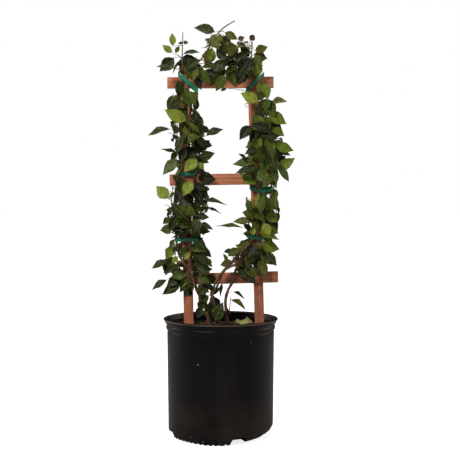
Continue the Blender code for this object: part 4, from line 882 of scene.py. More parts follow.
def pot_profile():
    """The wall's section from the middle of the floor up the inside, over the lip and down the outside."""
    top = POT_HEIGHT
    neck = top - 0.5 * (BAND_TOP_DROP + LIP_DROP)
    band = top - BAND_TOP_DROP
    shoulder = top - BODY_TOP_DROP
    points = [(0.0, POT_WALL), (0.5 * BASE_RADIUS, POT_WALL)]
    points += edge_points(BASE_RADIUS - BASE_EDGE, POT_WALL, (-20, 0), (0, 0))
    points += [(BASE_RADIUS - POT_WALL, POT_WALL + BASE_EDGE), (BODY_MIDDLE - POT_WALL, 0.5 * top),
               (BODY_RADIUS - POT_WALL, shoulder), (BAND_RADIUS - POT_WALL, band - BAND_HEIGHT),
               (BAND_RADIUS - POT_WALL, band)]
    points += edge_points(NECK_RADIUS - POT_WALL, neck, (-0.8, -3.0), (-0.8, -1.0), (0.4, 0.4))
    points += edge_points(LIP_INNER_RADIUS, top, (-0.4, -9), (0.2, -3.0), (0.9, -1.0), (2.2, 0))
    points += edge_points(LIP_RADIUS, top, (-3.0, -0.1), (-1.3, -0.5), (-0.2, -1.6), (0, -2.6), (-0.5, -3.9),
                          (-2.1, -5.0), (-3.4, -6.6), (-4.0, -8.4), (-3.7, -9.4), (-4.0, -10.6), (-5.3, -11.8))
    points += [(NECK_RADIUS + 1.0 * MM, neck), (NECK_RADIUS, top - 15.2 * MM), (NECK_RADIUS, band + 1.4 * MM)]
    points += edge_points(BAND_RADIUS, band, (-0.5, 0.3), (0, -1.0))
    points += edge_points(BAND_RADIUS, band - BAND_HEIGHT, (0, 1.6), (-0.6, 0))
    points += edge_points(BODY_RADIUS, shoulder, (-1.0, 1.2), (-0.4, -1.0), (0, -4))
    shoulder -= 4 * MM
    heights = [shoulder * (1 - step / 14) for step in range(1, 13)]
    heights += [30 * MM, 24 * MM, 18 * MM, 13 * MM, 9 * MM]
    for height in sorted({round(height, 5) for height in heights}, reverse=True):
        points.append((BASE_RADIUS + (BODY_RADIUS - BASE_RADIUS) * height / shoulder, height))
    points += edge_points(BASE_RADIUS, 0.0, (-0.1, 7.2), (-1.1, 6.2), (-1.2, 4), (-1.2, 2.2), (-1.6, 0.7))
    points += edge_points(BASE_RADIUS, 0.0, (-3, 0), (-8, 0), (-20, 0))
    return points + [(0.5 * BASE_RADIUS, 0.0), (0.0, 0.0)]


def drain_cutter(index, drain):
    """A rough arch that is cut from the foot of the wall and the edge of the floor."""
    turn = math.radians(drain.azimuth)
    out = Vector((math.sin(turn), -math.cos(turn), 0.0))
    side = Vector((math.cos(turn), math.sin(turn), 0.0))
    rng = random.Random(DRAIN_SEED + index)
    arch = []
    for step in range(17):
        across = -1 + 2 * step / 16
        rise = drain.height * min(1.0, drain.slope * (1 - abs(across))) ** 0.9 + rng.uniform(-0.6, 0.6) * MM
        arch.append((across * 0.5 * drain.width + rng.uniform(-0.3, 0.3) * MM, max(0.3 * MM, rise)))
    outline = [(-0.5 * drain.width, -2 * MM)] + arch + [(0.5 * drain.width, -2 * MM)]
    bm = bmesh.new()
    inner, outer = [[bm.verts.new(out * reach + side * x + UP * z) for x, z in outline]
                    for reach in (BASE_RADIUS - DRAIN_DEPTH, BASE_RADIUS + 4 * MM)]
    bm.faces.new(inner)
    bm.faces.new(list(reversed(outer)))
    for step in range(len(outline)):
        bm.faces.new((inner[step], inner[step - 1], outer[step - 1], outer[step]))
    return add_object(f"drain_{index}", mesh_from(f"drain_{index}", bm))


def turned_mesh(profile, sides):
    """A section turned about Z, with one point where it meets the axis."""
    corners, rows = [], []
    for radius, height in profile:
        if radius < 1e-6:
            rows.append([len(corners)])
            corners.append((0.0, 0.0, height))
            continue
        rows.append(list(range(len(corners), len(corners) + sides)))
        for step in range(sides):
            turn = 2 * math.pi * step / sides
            corners.append((radius * math.cos(turn), radius * math.sin(turn), height))
    faces = []
    for low, high in zip(rows, rows[1:]):
        for step in range(sides):
            after = (step + 1) % sides
            if len(low) == 1:
                faces.append((low[0], high[step], high[after]))
            elif len(high) == 1:
                faces.append((low[after], low[step], high[0]))
            else:
                faces.append((low[after], low[step], high[step], high[after]))
    return corners, faces


def worn_foot(point):
    """The foot of the wall: tucked in and lifted a little on its right, ribbed and ragged at its edge."""
    radius = math.hypot(point.x, point.y)
    if radius < BASE_RADIUS - 22 * MM or point.z > 1.2 * FOOT_TUCK_HEIGHT:
        return point
    azimuth = math.degrees(math.atan2(point.x, -point.y)) % 360
    lift = float(np.interp(azimuth, [row[0] for row in FOOT_LIFTS], [row[1] for row in FOOT_LIFTS])) * MM
    right = max(0.0, 1.0 - abs((azimuth - 78) / 62) ** 3) if 16 < azimuth < 140 else 0.0
    low = max(0.0, 1.0 - point.z / FOOT_TUCK_HEIGHT)
    edge = max(0.0, 1.0 - point.z / (9 * MM))
    inner = min(1.0, (radius - (BASE_RADIUS - 22 * MM)) / (10 * MM))
    spot = Vector((math.sin(math.radians(azimuth)) * 14, math.cos(math.radians(azimuth)) * 14, point.z * 40))
    rib = abs(math.sin(math.radians(azimuth) * BASE_RADIUS / FOOT_RIB * math.pi)) ** 0.6
    ragged = 3.4 * (1.0 - rib) + 1.6 * max(0.0, noise.noise(spot)) + 0.7 * max(0.0, noise.noise(spot * 3.7))
    tuck = FOOT_TUCK * right * low**1.6 * inner + abs(noise.noise(spot * 1.9)) * 0.8 * MM * edge
    share = (radius - tuck) / radius
    fade = max(0.0, 1.0 - point.z / (24 * MM)) ** 0.7
    rise = (lift * fade + ragged * MM * edge) * inner
    return Vector((point.x * share, point.y * share, point.z + rise))


class JASMINE_OT_pot(bpy.types.Operator):
    """Make the nursery pot, with its rolled lip, its band and its drain notches"""

    bl_idname = "jasmine.pot"
    bl_label = "Pot"

    def execute(self, context):
        settings = context.scene.jasmine_pot
        corners, faces = turned_mesh(pot_profile(), POT_SIDES)
        shell = add_object("shell", mesh_of("shell", [worn_foot(Vector(corner)) for corner in corners], faces))
        cutters = [drain_cutter(index, drain) for index, drain in enumerate(DRAINS)]
        for cutter in cutters:
            boolean = shell.modifiers.new(cutter.name, "BOOLEAN")
            boolean.operation = "DIFFERENCE"
            boolean.solver = "MANIFOLD"
            boolean.object = cutter
        mesh = baked_mesh("pot_shell", shell)
        for cutter in cutters:
            bpy.data.objects.remove(cutter, do_unlink=True)
        mesh.materials.clear()
        mesh.shade_smooth()
        mesh.set_sharp_from_angle(angle=math.radians(40))
        # The scuff colour serves both the painted highlight along the lip and the pale scuff marks.
        values = {"Clean": tuple(settings.plastic), "Dust": tuple(settings.dust), "Amount": settings.dust_amount,
                  "Foot": 0.22, "Scuff": linear((118, 104, 90))}
        plastic = grouped_material("pot_plastic", dust_and_rim_highlight_group(), values, settings.gloss, 0.12, 0.6 * MM)
        piece("pot_shell", mesh, ["pot"], [plastic])
        return {"FINISHED"}


def chip_tree(material):
    """Bark chips scattered over a surface, each one its own size and turn."""
    tree = bpy.data.node_groups.new("Bark Chips", "GeometryNodeTree")
    kinds = {"Geometry": "Geometry", "Density": "Float", "Chip Length": "Float", "Seed": "Int"}
    for label, kind in kinds.items():
        tree.interface.new_socket(label, in_out="INPUT", socket_type="NodeSocket" + kind)
    tree.interface.new_socket("Geometry", in_out="OUTPUT", socket_type="NodeSocketGeometry")
    given = tree.nodes.new("NodeGroupInput").outputs

    def added(kind, inputs, result=0, **settings):
        return node_in(tree, kind, inputs, **settings).outputs[result]

    points = added("GeometryNodeDistributePointsOnFaces", {
        "Mesh": given["Geometry"], "Density": given["Density"], "Seed": given["Seed"]}, "Points")
    cube = added("GeometryNodeMeshCube", {
        "Size": (1.0, 0.5, 0.28), "Vertices X": 4, "Vertices Y": 3, "Vertices Z": 2}, "Mesh")
    turn = added("FunctionNodeRandomValue", {0: (-0.45, -0.45, 0.0), 1: (0.45, 0.45, 6.283)},
                 data_type="FLOAT_VECTOR")
    size = added("FunctionNodeRandomValue", {0: (0.35, 0.45, 0.4), 1: (1.25, 1.2, 1.3), "Seed": 3},
                 data_type="FLOAT_VECTOR")
    scale = added("ShaderNodeVectorMath", {0: size, "Scale": given["Chip Length"]}, operation="SCALE")
    chips = added("GeometryNodeInstanceOnPoints", {
        "Points": points, "Instance": cube, "Rotation": turn, "Scale": scale}, "Instances")
    chips = added("GeometryNodeRealizeInstances", {"Geometry": chips})
    grain = added("ShaderNodeTexNoise", {"Scale": 260.0, "Detail": 1.0}, "Color")
    shift = added("ShaderNodeVectorMath", {0: grain, 1: (0.5, 0.5, 0.5)}, operation="SUBTRACT")
    shift = added("ShaderNodeVectorMath", {0: shift, "Scale": 5.0 * MM}, operation="SCALE")
    chips = added("GeometryNodeSetPosition", {"Geometry": chips, "Offset": shift})
    chips = added("GeometryNodeSetMaterial", {"Geometry": chips, "Material": material})
    node_in(tree, "NodeGroupOutput", {"Geometry": chips})
    return tree


def soil_height(x, y):
    spot = Vector((x * 38, y * 38, 0.0))
    heap = 5.0 * MM * max(0.0, 1.0 - (x * x + y * y) / (0.13 * 0.13))
    return SOIL_LEVEL + heap + noise.noise(spot) * 3.0 * MM + noise.noise(spot * 3.3) * 1.8 * MM


def soil_disc(rings, sides, lift=0.0):
    """The uneven top of the bark mix, over rings given as shares of its rim."""
    corners, faces = turned_mesh([(SOIL_RIM * share, 0.0) for share in rings], sides)
    return [(x, y, soil_height(x, y) + lift) for x, y, _ in corners], [tuple(reversed(face)) for face in faces]


class JASMINE_OT_bark_mix(bpy.types.Operator):
    """Make the bark mix that fills the pot, and the chips that lie on it"""

    bl_idname = "jasmine.bark_mix"
    bl_label = "Bark Mix"

    def execute(self, context):
        settings = context.scene.jasmine_pot
        profile = [(0.0, 24 * MM), (BASE_RADIUS - FOOT_TUCK - 8 * MM, 24 * MM),
                   (BASE_RADIUS - POT_WALL - GAP, 34 * MM)]
        profile += [(SOIL_RIM * share, 0.0) for share in np.linspace(1.0, 0.0, 34)]
        corners, faces = turned_mesh(profile, 96)
        faces = [tuple(reversed(face)) for face in faces]
        mesh = mesh_of("bark_mix_body", [(x, y, z or soil_height(x, y)) for x, y, z in corners], faces)
        fix_normals(mesh)
        colours = [linear(colour) for colour in ((44, 32, 25), (16, 12, 10), (88, 64, 46))]
        mix = bark_material("bark_mix", colours, 260.0, 0.25, 0.8, 2 * MM)
        piece("bark_mix_body", mesh, ["bark_mix"], [mix])
        colours = [linear(colour) for colour in ((58, 41, 31), (24, 18, 14), (146, 106, 76))]
        tree = chip_tree(bark_material("bark_chip", colours, 320.0, 0.2, 0.6, 1 * MM, pale=0.75))
        bed = mesh_of("chip_bed", *soil_disc((0.97, 0.75, 0.5, 0.25, 0.0), 48, 0.8 * MM))
        bed = add_object("chip_bed", bed)
        modifier = bed.modifiers.new("chips", "NODES")
        modifier.node_group = tree
        sockets = {item.name: item.identifier for item in tree.interface.items_tree if item.in_out == "INPUT"}
        modifier[sockets["Density"]] = float(settings.chips_per_square_metre)
        modifier[sockets["Chip Length"]] = settings.chip_length
        modifier[sockets["Seed"]] = CHIP_SEED
        mesh = baked_mesh("bark_chips", bed)
        fix_normals(mesh)
        piece("bark_chips", mesh)
        return {"FINISHED"}


# Trellis and ties


def lath(name, size, place, turn_y, seed):
    """One sawn lath: a box with worn edges, its faces a little uneven."""
    bm = bmesh.new()
    bmesh.ops.create_cube(bm, size=1.0)
    bmesh.ops.scale(bm, vec=Vector(size) - Vector((0.3, 0.3, 0.3)) * MM, verts=bm.verts)
    bmesh.ops.bevel(bm, geom=list(bm.edges), offset=1.3 * MM, segments=2, affect="EDGES", profile=0.6)
    long_axis = size.index(max(size))
    along = Vector(float(axis == long_axis) for axis in range(3))
    cuts = max(4, round(size[long_axis] / (12 * MM)))
    for index in range(1, cuts):
        where = along * (size[long_axis] * (index / cuts - 0.5))
        bmesh.ops.bisect_plane(bm, geom=bm.verts[:] + bm.edges[:] + bm.faces[:], plane_co=where, plane_no=along)
    rng = random.Random(seed)
    shift = Vector((rng.uniform(0, 50), rng.uniform(0, 50), rng.uniform(0, 50)))
    for vertex in bm.verts:
        bend = noise.noise(Vector((vertex.co[long_axis] * 9, 0.0, 0.0)) + shift) * 0.12 * MM
        vertex.co.x += bend * (long_axis != 0)
        vertex.co.y -= abs(bend) * (vertex.co.y > 0)
    matrix = Matrix.Translation(place) @ Matrix.Rotation(turn_y, 4, "Y")
    bmesh.ops.transform(bm, matrix=matrix, verts=bm.verts)
    mesh = mesh_from(name, bm)
    mesh.shade_smooth()
    mesh.set_sharp_from_angle(angle=math.radians(35))
    return mesh


def post_centre(post, height):
    return post.x_at_soil - math.tan(post.lean) * (height - SOIL_LEVEL)


class JASMINE_OT_trellis(bpy.types.Operator):
    """Make the two posts and three rails of stained wood, and the nails that hold them"""

    bl_idname = "jasmine.trellis"
    bl_label = "Trellis"

    def execute(self, context):
        settings = context.scene.jasmine_trellis
        values = {"Early Wood": tuple(settings.early_wood), "Late Wood": tuple(settings.late_wood),
                  "Stain": tuple(settings.stain), "Streaks": settings.streaks}
        upright, level = [
            grouped_material(name, grain_group(), values, 0.3, 0.35, 0.6 * MM, turn)
            for name, turn in (("wood_upright", (0.0, math.radians(90), 0.0)), ("wood_level", None))
        ]
        middle = 0.5 * (POST_TOP + POST_FOOT)
        for index, post in enumerate(POSTS):
            place = (post_centre(post, middle), POST_FRONT_Y + 0.5 * POST_DEPTH, middle)
            size = (POST_WIDTH, POST_DEPTH, POST_TOP - POST_FOOT)
            mesh = lath(post.name + "_wood", size, place, -post.lean, POST_SEED + index)
            piece(post.name + "_wood", mesh, [post.name], [upright])
        heads = Growth()
        for index, rail in enumerate(RAILS):
            place = Vector((rail.middle_x, POST_FRONT_Y - GAP - 0.5 * RAIL_DEPTH, rail.middle_z))
            size = (rail.length, RAIL_DEPTH, RAIL_HEIGHT)
            mesh = lath(rail.name + "_wood", size, place, -rail.rise, RAIL_SEED + index)
            piece(rail.name + "_wood", mesh, [rail.name], [level])
            for post in POSTS:
                for side in (-1, 1):
                    x = post_centre(post, rail.middle_z) + side * 4.5 * MM
                    z = rail.middle_z + math.tan(rail.rise) * (x - rail.middle_x) + side * 6 * MM
                    front = place.y - 0.5 * RAIL_DEPTH
                    points = [Vector((x, front + depth * MM, z)) for depth in (0.3, 0.12, -0.22, -0.3)]
                    heads.add(*tube(points, [1.5 * MM, 1.6 * MM, 1.5 * MM, 0.8 * MM], 10))
        steel, tree, shader = new_material("nail_steel")
        shader.inputs["Metallic"].default_value = 0.8
        rust = noise_in(tree, place_in(tree), 900.0)
        colour = mix_in(tree, range_in(tree, rust, 0.4, 0.6), (0.1, 0.09, 0.085), (0.09, 0.04, 0.02))
        finish_shader(tree, shader, colour, range_in(tree, rust, 0.3, 0.7, 0.35, 0.8))
        piece("nails", heads.mesh("nails"), (), [steel])
        return {"FINISHED"}


def along_limb(twig, height):
    """The centre and radius of a limb where it first reaches a height."""
    for low, high, first, last in zip(twig.points, twig.points[1:], twig.radii, twig.radii[1:]):
        if low.z <= height <= high.z:
            share = (height - low.z) / max(high.z - low.z, 1e-9)
            return low.lerp(high, share), first + share * (last - first)
    raise ValueError(f"the limb doesn't reach a height of {height:.3f}")


def tie_height(tie, x, y):
    return tie.height + tie.slope_x * (x - 0.5 * (tie.left + tie.right)) + tie.slope_y * (y - TIE_MIDDLE_Y)


def tie_loop(tie, limbs):
    """The loop of a tie: the hull of its post's back, of the stems that it holds and of its slack ends."""
    room = GAP + 0.5 * TIE_THICKNESS
    middle = 0.5 * (tie.left + tie.right)
    half = 0.5 * tie.width
    flat = [Vector((x, y)) for x in (tie.left, tie.right) for y in (TIE_SLACK_FRONT_Y, TIE_SLACK_BACK_Y)]
    back = POST_FRONT_Y + POST_DEPTH + room
    for side in (-1, 1):
        for reach in (-half, half):
            edge = post_centre(POSTS[tie.post], tie.height) + side * 0.5 * POST_WIDTH
            centre_x = post_centre(POSTS[tie.post], tie_height(tie, edge, back) + reach)
            flat.append(Vector((centre_x + side * (0.5 * POST_WIDTH + room), back)))
    for name in tie.held:
        centre, _ = along_limb(limbs[name], tie.height)
        for reach in (-half, 0.0, half):
            centre, radius = along_limb(limbs[name], tie_height(tie, centre.x, centre.y) + reach)
            flat += [(centre + heading(turn) * (radius + room) / 0.92).xy for turn in range(20, 380, 45)]
    hull = [flat[index].to_3d() for index in convex_hull_2d(flat)]
    loop = walked(hull + hull[:1], TIE_STEP)[:-1]
    front = min(point.y for point in loop)
    for point in loop:
        across = (point.x - middle) / (tie.right - middle)
        share = (TIE_MIDDLE_Y - point.y) / (TIE_MIDDLE_Y - front)
        sag = tie.sag * max(0.0, share) * max(0.0, 1.0 - across * across)
        point.z = tie_height(tie, point.x, point.y) - sag
    return loop


def tape_band(tie, loop, rng):
    """The corners and faces of the tape: a thin closed band, gathered a little where it is knotted."""
    count = len(loop)
    rows = 4
    middle = sum(loop, Vector()) / count
    spot = Vector((middle.x, 1.0)) if tie.knot_x is None else Vector((tie.knot_x, -1.0))
    knotted = min(range(count), key=lambda index: abs(loop[index].x - spot.x) - 0.5 * loop[index].y * spot.y)
    phase = rng.uniform(0, 20)
    corners, faces = [], []
    for layer in (0.5, -0.5):
        for index, point in enumerate(loop):
            near = min(abs(index - knotted), count - abs(index - knotted))
            gather = 1.0 - 0.4 * math.exp(-(near**2) / 4.0)
            out = Vector((point.x - middle.x, point.y - middle.y, 0.0)).normalized()
            for row in range(rows + 1):
                share = row / rows - 0.5
                fold = noise.noise(Vector((index * 0.35, row * 1.3, phase))) * 0.25 * MM * gather
                depth = (layer * 0.45 * MM) + fold - 0.2 * MM
                corners.append(point + UP * (share * tie.width * gather) + out * depth)
    ring = rows + 1
    size = count * ring
    for index in range(count):
        after = (index + 1) % count
        for row in range(rows):
            a, b = index * ring + row, after * ring + row
            faces.append((a, b, b + 1, a + 1))
            faces.append((size + a, size + a + 1, size + b + 1, size + b))
        for row in (0, rows):
            a, b = index * ring + row, after * ring + row
            face = (a, b, size + b, size + a)
            faces.append(face if row else tuple(reversed(face)))
    return corners, faces, loop[knotted], -1 if tie.knot_x else 1


def knot(place, rng):
    """A small pinched knot with two short ends."""
    bm = bmesh.new()
    bmesh.ops.create_icosphere(bm, subdivisions=2, radius=1.0)
    for vertex in bm.verts:
        bump = 1.0 + 0.25 * noise.noise(vertex.co * 2.2 + Vector((rng.random() * 0.01, 3, 1)))
        vertex.co = Vector((vertex.co.x * 3.0, vertex.co.y * 1.5, vertex.co.z * 2.4)) * bump * MM + place
    corners = [vertex.co.copy() for vertex in bm.verts]
    faces = [tuple(vertex.index for vertex in face.verts) for face in bm.faces]
    bm.free()
    return corners, faces


def tape_end(place, direction, rng):
    """One short loose end of tape, curling away from the knot."""
    corners, faces = [], []
    side = perpendicular(UP, direction)
    point = place.copy()
    steps = 5
    for step in range(steps + 1):
        width = (2.0 + 0.35 * step) * MM
        for layer in (0.2, -0.2):
            for edge in (-0.5, 0.5):
                corners.append(point + side * width * edge + Vector((0, -1, 0)) * layer * MM)
        direction = (direction + Vector((0, 0.05, -0.16)) + Vector((0, rng.uniform(-0.1, 0.1), 0))).normalized()
        point = point + direction * 2.2 * MM
    for step in range(steps):
        a, b = 4 * step, 4 * step + 4
        faces += [(a + i, a + j, b + j, b + i) for i, j in ((0, 1), (3, 2), (2, 0), (1, 3))]
    last = 4 * steps
    faces += [(0, 2, 3, 1), (last, last + 1, last + 3, last + 2)]
    return corners, faces


class JASMINE_OT_ties(bpy.types.Operator):
    """Make the green plant tape that ties the stems to the posts"""

    bl_idname = "jasmine.ties"
    bl_label = "Ties"

    def execute(self, context):
        settings = context.scene.jasmine_trellis
        tape, tree, shader = new_material("plant_tape")
        # Painted highlight: pale streaky patches in the tape's highlight colour stand for its sheen.
        stretch = noise_in(tree, place_in(tree), 300.0, 2.0, (1.0, 1.0, 3.0))
        pale = range_in(tree, stretch, 0.42, 0.68)
        colour = mix_in(tree, pale, tuple(settings.tape), tuple(settings.tape_highlight))
        roughness = range_in(tree, stretch, 0.3, 0.7, 0.25, 0.5)
        finish_shader(tree, shader, colour, roughness, stretch, 0.4, 0.4 * MM)
        limbs = {limb.name: limb_twig(limb) for limb in LIMBS}
        for index, tie in enumerate(TIES):
            rng = random.Random(TIE_SEED + index)
            band = Growth()
            corners, faces, place, facing = tape_band(tie, tie_loop(tie, limbs), rng)
            band.add(corners, faces)
            band.add(*knot(place + Vector((0, facing * 0.9 * MM, 0)), rng))
            for side in (-1, 1):
                direction = Vector((0.6 * side, 0.25 * facing, -0.55)).normalized()
                band.add(*tape_end(place + Vector((0, facing * 1.2 * MM, 0)), direction, rng))
            mesh = band.mesh(tie.name + "_tape")
            fix_normals(mesh)
            piece(tie.name + "_tape", mesh, [tie.name], [tape])
        return {"FINISHED"}


# Stems


class JASMINE_OT_stems(bpy.types.Operator):
    """Make the woody stems and boughs with the relief of their bark"""

    bl_idname = "jasmine.stems"
    bl_label = "Stems"

    def execute(self, context):
        settings = context.scene.jasmine_stems
        colours = (settings.bark, settings.crack, settings.bloom)
        bark = bark_material("vine_bark", colours, 420.0, 0.3, 0.5, 0.8 * MM)
        depth = settings.relief
        for index, limb in enumerate(LIMBS):
            points, radii, lengths = resampled(limb_twig(limb), 3.0 * MM)
            if limb.name != "bough_left":
                points[0].z = max(points[0].z, SOIL_LEVEL - 6 * MM)

            def relief(step, turn):
                along = lengths[step]
                spot = Vector((math.cos(turn) * 1.6, math.sin(turn) * 1.6, along * 70 + 17.0 * index))
                ridge = noise.noise(spot) * depth + noise.noise(spot * 2.7) * 0.45 * depth
                joint = math.exp(-((((along / MM + 9 * index) % 41.0) - 20.0) ** 2) / 7.0)
                return 1.0 + ridge + 0.16 * joint * (1.0 + 0.5 * math.cos(turn - along * 40))

            growth = Growth()
            growth.add(*tube(points, radii, 16, relief))
            piece(limb.name + "_bark", growth.mesh(limb.name + "_bark"), [limb.name], [bark])
        return {"FINISHED"}


# Foliage


def leader_of(mass, limb):
    """The route of a mass's leader: off its limb, then up beside it at the mass's stand off."""
    start, end = mass.start * MM, mass.end * MM
    centre, radius = along_limb(limb, start)
    above, _ = along_limb(limb, start + 5 * MM)
    out = perpendicular(heading(mass.headings[0]), (above - centre).normalized())
    route = [centre + out * (radius - 0.4 * MM), centre + out * (radius + 3.3 * MM)]
    steps = max(2, round((end - start) / (28 * MM)))
    for step in range(1, steps + 1):
        share = step / steps
        centre, _ = along_limb(limb, start + (end - start) * share)
        reach = mass.stand_off * MM * min(1.0, 0.6 + 0.6 * share)
        turn = mass.headings[0] + (mass.headings[1] - mass.headings[0]) * min(1.0, 1.3 * share)
        route.append(centre + heading(turn) * reach)
    return route


def tapered(points, radius):
    last = len(points) - 1
    shares = [index / last for index in range(last + 1)]
    return Twig(points, [radius * (1.0 - (1.0 - TWIG_TIP_SHARE) * share) for share in shares])


def shoot_route(start, end, lift):
    return [start, start.lerp(end, 0.5) + UP * lift * (end - start).length, end]


BLADE_ROWS = ((0.09, 0.06), (0.21, 0.6), (0.39, 0.98), (0.58, 0.93), (0.77, 0.55), (0.91, 0.17))
BLADE_COLUMNS = (-1.0, -0.5, 0.0, 0.5, 1.0)
BLADE_WAVE = 0.085


def blade_faces():
    """The faces of a closed blade: its upper side, and its underside between the same rims."""
    rows, columns = len(BLADE_ROWS), len(BLADE_COLUMNS)
    top = [[2 + row * columns + column for column in range(columns)] for row in range(rows)]
    start = 2 + rows * columns
    under = []
    for row in range(rows):
        inner = [start + row * (columns - 2) + column for column in range(columns - 2)]
        under.append([top[row][0]] + inner + [top[row][-1]])
    faces, slots = [], []
    for side, grid in ((0, top), (1, under)):
        ends = []
        for column in range(columns - 1):
            ends.append((0, grid[0][column + 1], grid[0][column]))
            ends.append((1, grid[-1][column], grid[-1][column + 1]))
            for here, after in zip(grid, grid[1:]):
                ends.append((here[column], here[column + 1], after[column + 1], after[column]))
        faces += [tuple(reversed(face)) for face in ends] if side else ends
        slots += [side] * len(ends)
    return faces, slots


BLADE_FACES, BLADE_SLOTS = blade_faces()
HULL_ROWS = ((0.0, 0.0), (0.3, 0.9), (0.7, 0.9), (1.0, 0.0))


def leaf_frame(leaf):
    side = leaf.face.cross(leaf.along).normalized()
    return side, leaf.along.cross(side).normalized()


def leaf_point(leaf, share, across, fold=0.22, wave=0.0):
    """A point on the blade's middle surface. Share runs from stalk to tip, across from rim to rim."""
    side, face = leaf_frame(leaf)
    wide = across * 0.5 * leaf.width
    lift = fold * abs(wide) - leaf.droop * leaf.length * share * share
    if wave:
        ripple = math.sin(leaf.phase + share * 8.5 + (1.7 if across > 0 else 0.0))
        lift += wave * leaf.width * across * across * ripple
        turn = 0.25 * math.sin(leaf.phase * 1.7) * share
        along, up = math.cos(turn), math.sin(turn)
        side, face = side * along + face * up, face * along - side * up
    return leaf.root + leaf.along * (leaf.length * share) + side * wide + face * lift


def blade(leaf):
    """The corners and UV places of a blade with a stalk, a creased midrib and a wavy rim."""
    _, face = leaf_frame(leaf)
    thick = 0.45 * MM
    fold = 0.3 + 0.22 * math.sin(leaf.phase * 2.3)
    points = [leaf_point(leaf, 0.0, 0.0), leaf_point(leaf, 1.0, 0.0, fold, BLADE_WAVE)]
    uvs = [(0.5, 0.0), (0.5, 1.0)]
    for share, width in BLADE_ROWS:
        for across in BLADE_COLUMNS:
            points.append(leaf_point(leaf, share, across * width, fold, BLADE_WAVE))
            uvs.append((0.5 + 0.5 * across, share))
    for row, (share, width) in enumerate(BLADE_ROWS):
        for column in range(1, len(BLADE_COLUMNS) - 1):
            top = points[2 + row * len(BLADE_COLUMNS) + column]
            points.append(top - face * thick * (1.6 if share < 0.1 else 1.0))
            uvs.append(uvs[2 + row * len(BLADE_COLUMNS) + column])
    return points, uvs


def leaf_hull(leaf, pad=0.0, root_share=0.0):
    """A coarse closed shape round a blade, which is what growth is tested with."""
    _, face = leaf_frame(leaf)
    points, faces = [], []
    for share, width in HULL_ROWS:
        share = root_share + (1.0 - root_share) * share
        for across in (-1.0, 0.0, 1.0):
            centre = leaf_point(leaf, share, across * (width + 2 * pad / leaf.width))
            points += [centre + face * (0.4 * MM + pad), centre - face * (0.6 * MM + pad)]
    for first in range(0, len(points) - 6, 6):
        faces += [(a, a + 2, a + 8, a + 6) for a in range(first, first + 4)]
        faces += [(a, a + 1, a + 7, a + 6) for a in (first, first + 4)]
    return points, faces


def leaf_tree(leaf, pad, root_share=0.0):
    return BVHTree.FromPolygons(*leaf_hull(leaf, pad, root_share))


def middle_and_reach(points):
    middle = sum(points, Vector()) / len(points)
    return middle, max((point - middle).length for point in points)


def node_tree_of(name):
    mesh = frame["nodes"][name].data
    faces = [face.vertices[:] for face in mesh.polygons]
    return BVHTree.FromPolygons([vertex.co for vertex in mesh.vertices], faces)


class Crown:
    """Everything that has grown so far, and the solids that new growth keeps clear of."""

    def __init__(self, names, stems, ties):
        self.solids = [node_tree_of(name) for name in names] + ties
        self.ties = ties
        self.stems = stems
        self.leaves = []
        self.twigs = []
        self.shown = []

    def add_twig(self, twig, owner):
        dense = walked(twig.points, 4 * MM)
        middle, reach = middle_and_reach(dense)
        self.twigs.append((dense, middle, reach, max(twig.radii), owner))

    def add_leaf(self, leaf, owner, shown=False):
        middle, reach = middle_and_reach(leaf_hull(leaf)[0])
        tree = leaf_tree(leaf, 0.0)
        self.leaves.append((leaf, tree, leaf_tree(leaf, 0.0, 0.25), middle, reach, owner))
        if shown:
            self.shown.append((tree, middle, reach))

    def twig_is_clear(self, points, radius, owner, skip=0.0):
        """Whether a twig keeps off the solids and off other growth. Skip is a length at its foot."""
        dense = [point for point in walked(points, 3 * MM) if (point - points[0]).length >= skip]
        if not dense:
            return True
        room = radius + CLEAR
        if any(tree.find_nearest(point, room)[0] for tree in self.solids for point in dense):
            return False
        middle, reach = middle_and_reach(dense)
        for other, centre, span, thick, whose in self.twigs:
            if whose == owner or (centre - middle).length > span + reach + room + thick:
                continue
            if any((a - b).length < room + thick + TWIG_ROOM for a in dense for b in other):
                return False
        end = points[-1]
        for _, tree, _, centre, span, _ in self.leaves:
            if (centre - middle).length > span + reach + room:
                continue
            if any((point - end).length > 3 * MM and tree.find_nearest(point, radius)[0] for point in dense):
                return False
        return True

    def leaf_is_clear(self, leaf, owner, foot):
        """Whether a leaf keeps off the solids, the other leaves, and every twig but at its own foot."""
        whole = leaf_tree(leaf, CLEAR)
        blade_tree = leaf_tree(leaf, CLEAR, 0.25)
        if any(tree.overlap(whole) for tree in self.solids):
            return False
        middle, reach = middle_and_reach(leaf_hull(leaf, CLEAR)[0])
        for other, tree, tree_blade, centre, span, whose in self.leaves:
            if (centre - middle).length > span + reach:
                continue
            paired = whose == owner and (other.root - leaf.root).length < PAIR_REACH
            if (tree_blade.overlap(blade_tree) if paired else tree.overlap(whole)):
                return False
        for dense, centre, span, thick, whose in self.twigs:
            if (centre - middle).length > span + reach + thick:
                continue
            tree, free = (blade_tree, foot) if whose == owner else (whole, 0.0)
            for point in dense:
                if (point - leaf.root).length > free and tree.find_nearest(point, thick + CLEAR)[0]:
                    return False
        return True


def outlook(point, front):
    """The way a leaf's face turns: up, outwards from the columns, and to the front or the back."""
    return Vector((0.25 if point.x > 0.0 else -0.25, -0.85 if front else 0.85, 0.4))


def is_bare(point):
    """Whether the stem shows at a point: all of its foot and top, and stretches of it between them."""
    if point.z < BARE_HEIGHT or point.z > (BARE_TOP if point.x > 0.0 else BARE_TOP_LEFT):
        return True
    return math.sin(point.z * BARE_WAVE + (2.0 if point.x > 0.0 else 0.4)) > BARE_LEAST


SPOTS = list(product((0.15, 0.3, 0.45, 0.6, 0.75), (-0.8, 0.0, 0.8))) + [(0.98, 0.0)]
FINE_SPOTS = SPOTS + list(product((0.15, 0.3, 0.45, 0.6, 0.75, 0.88), (-0.4, 0.4)))


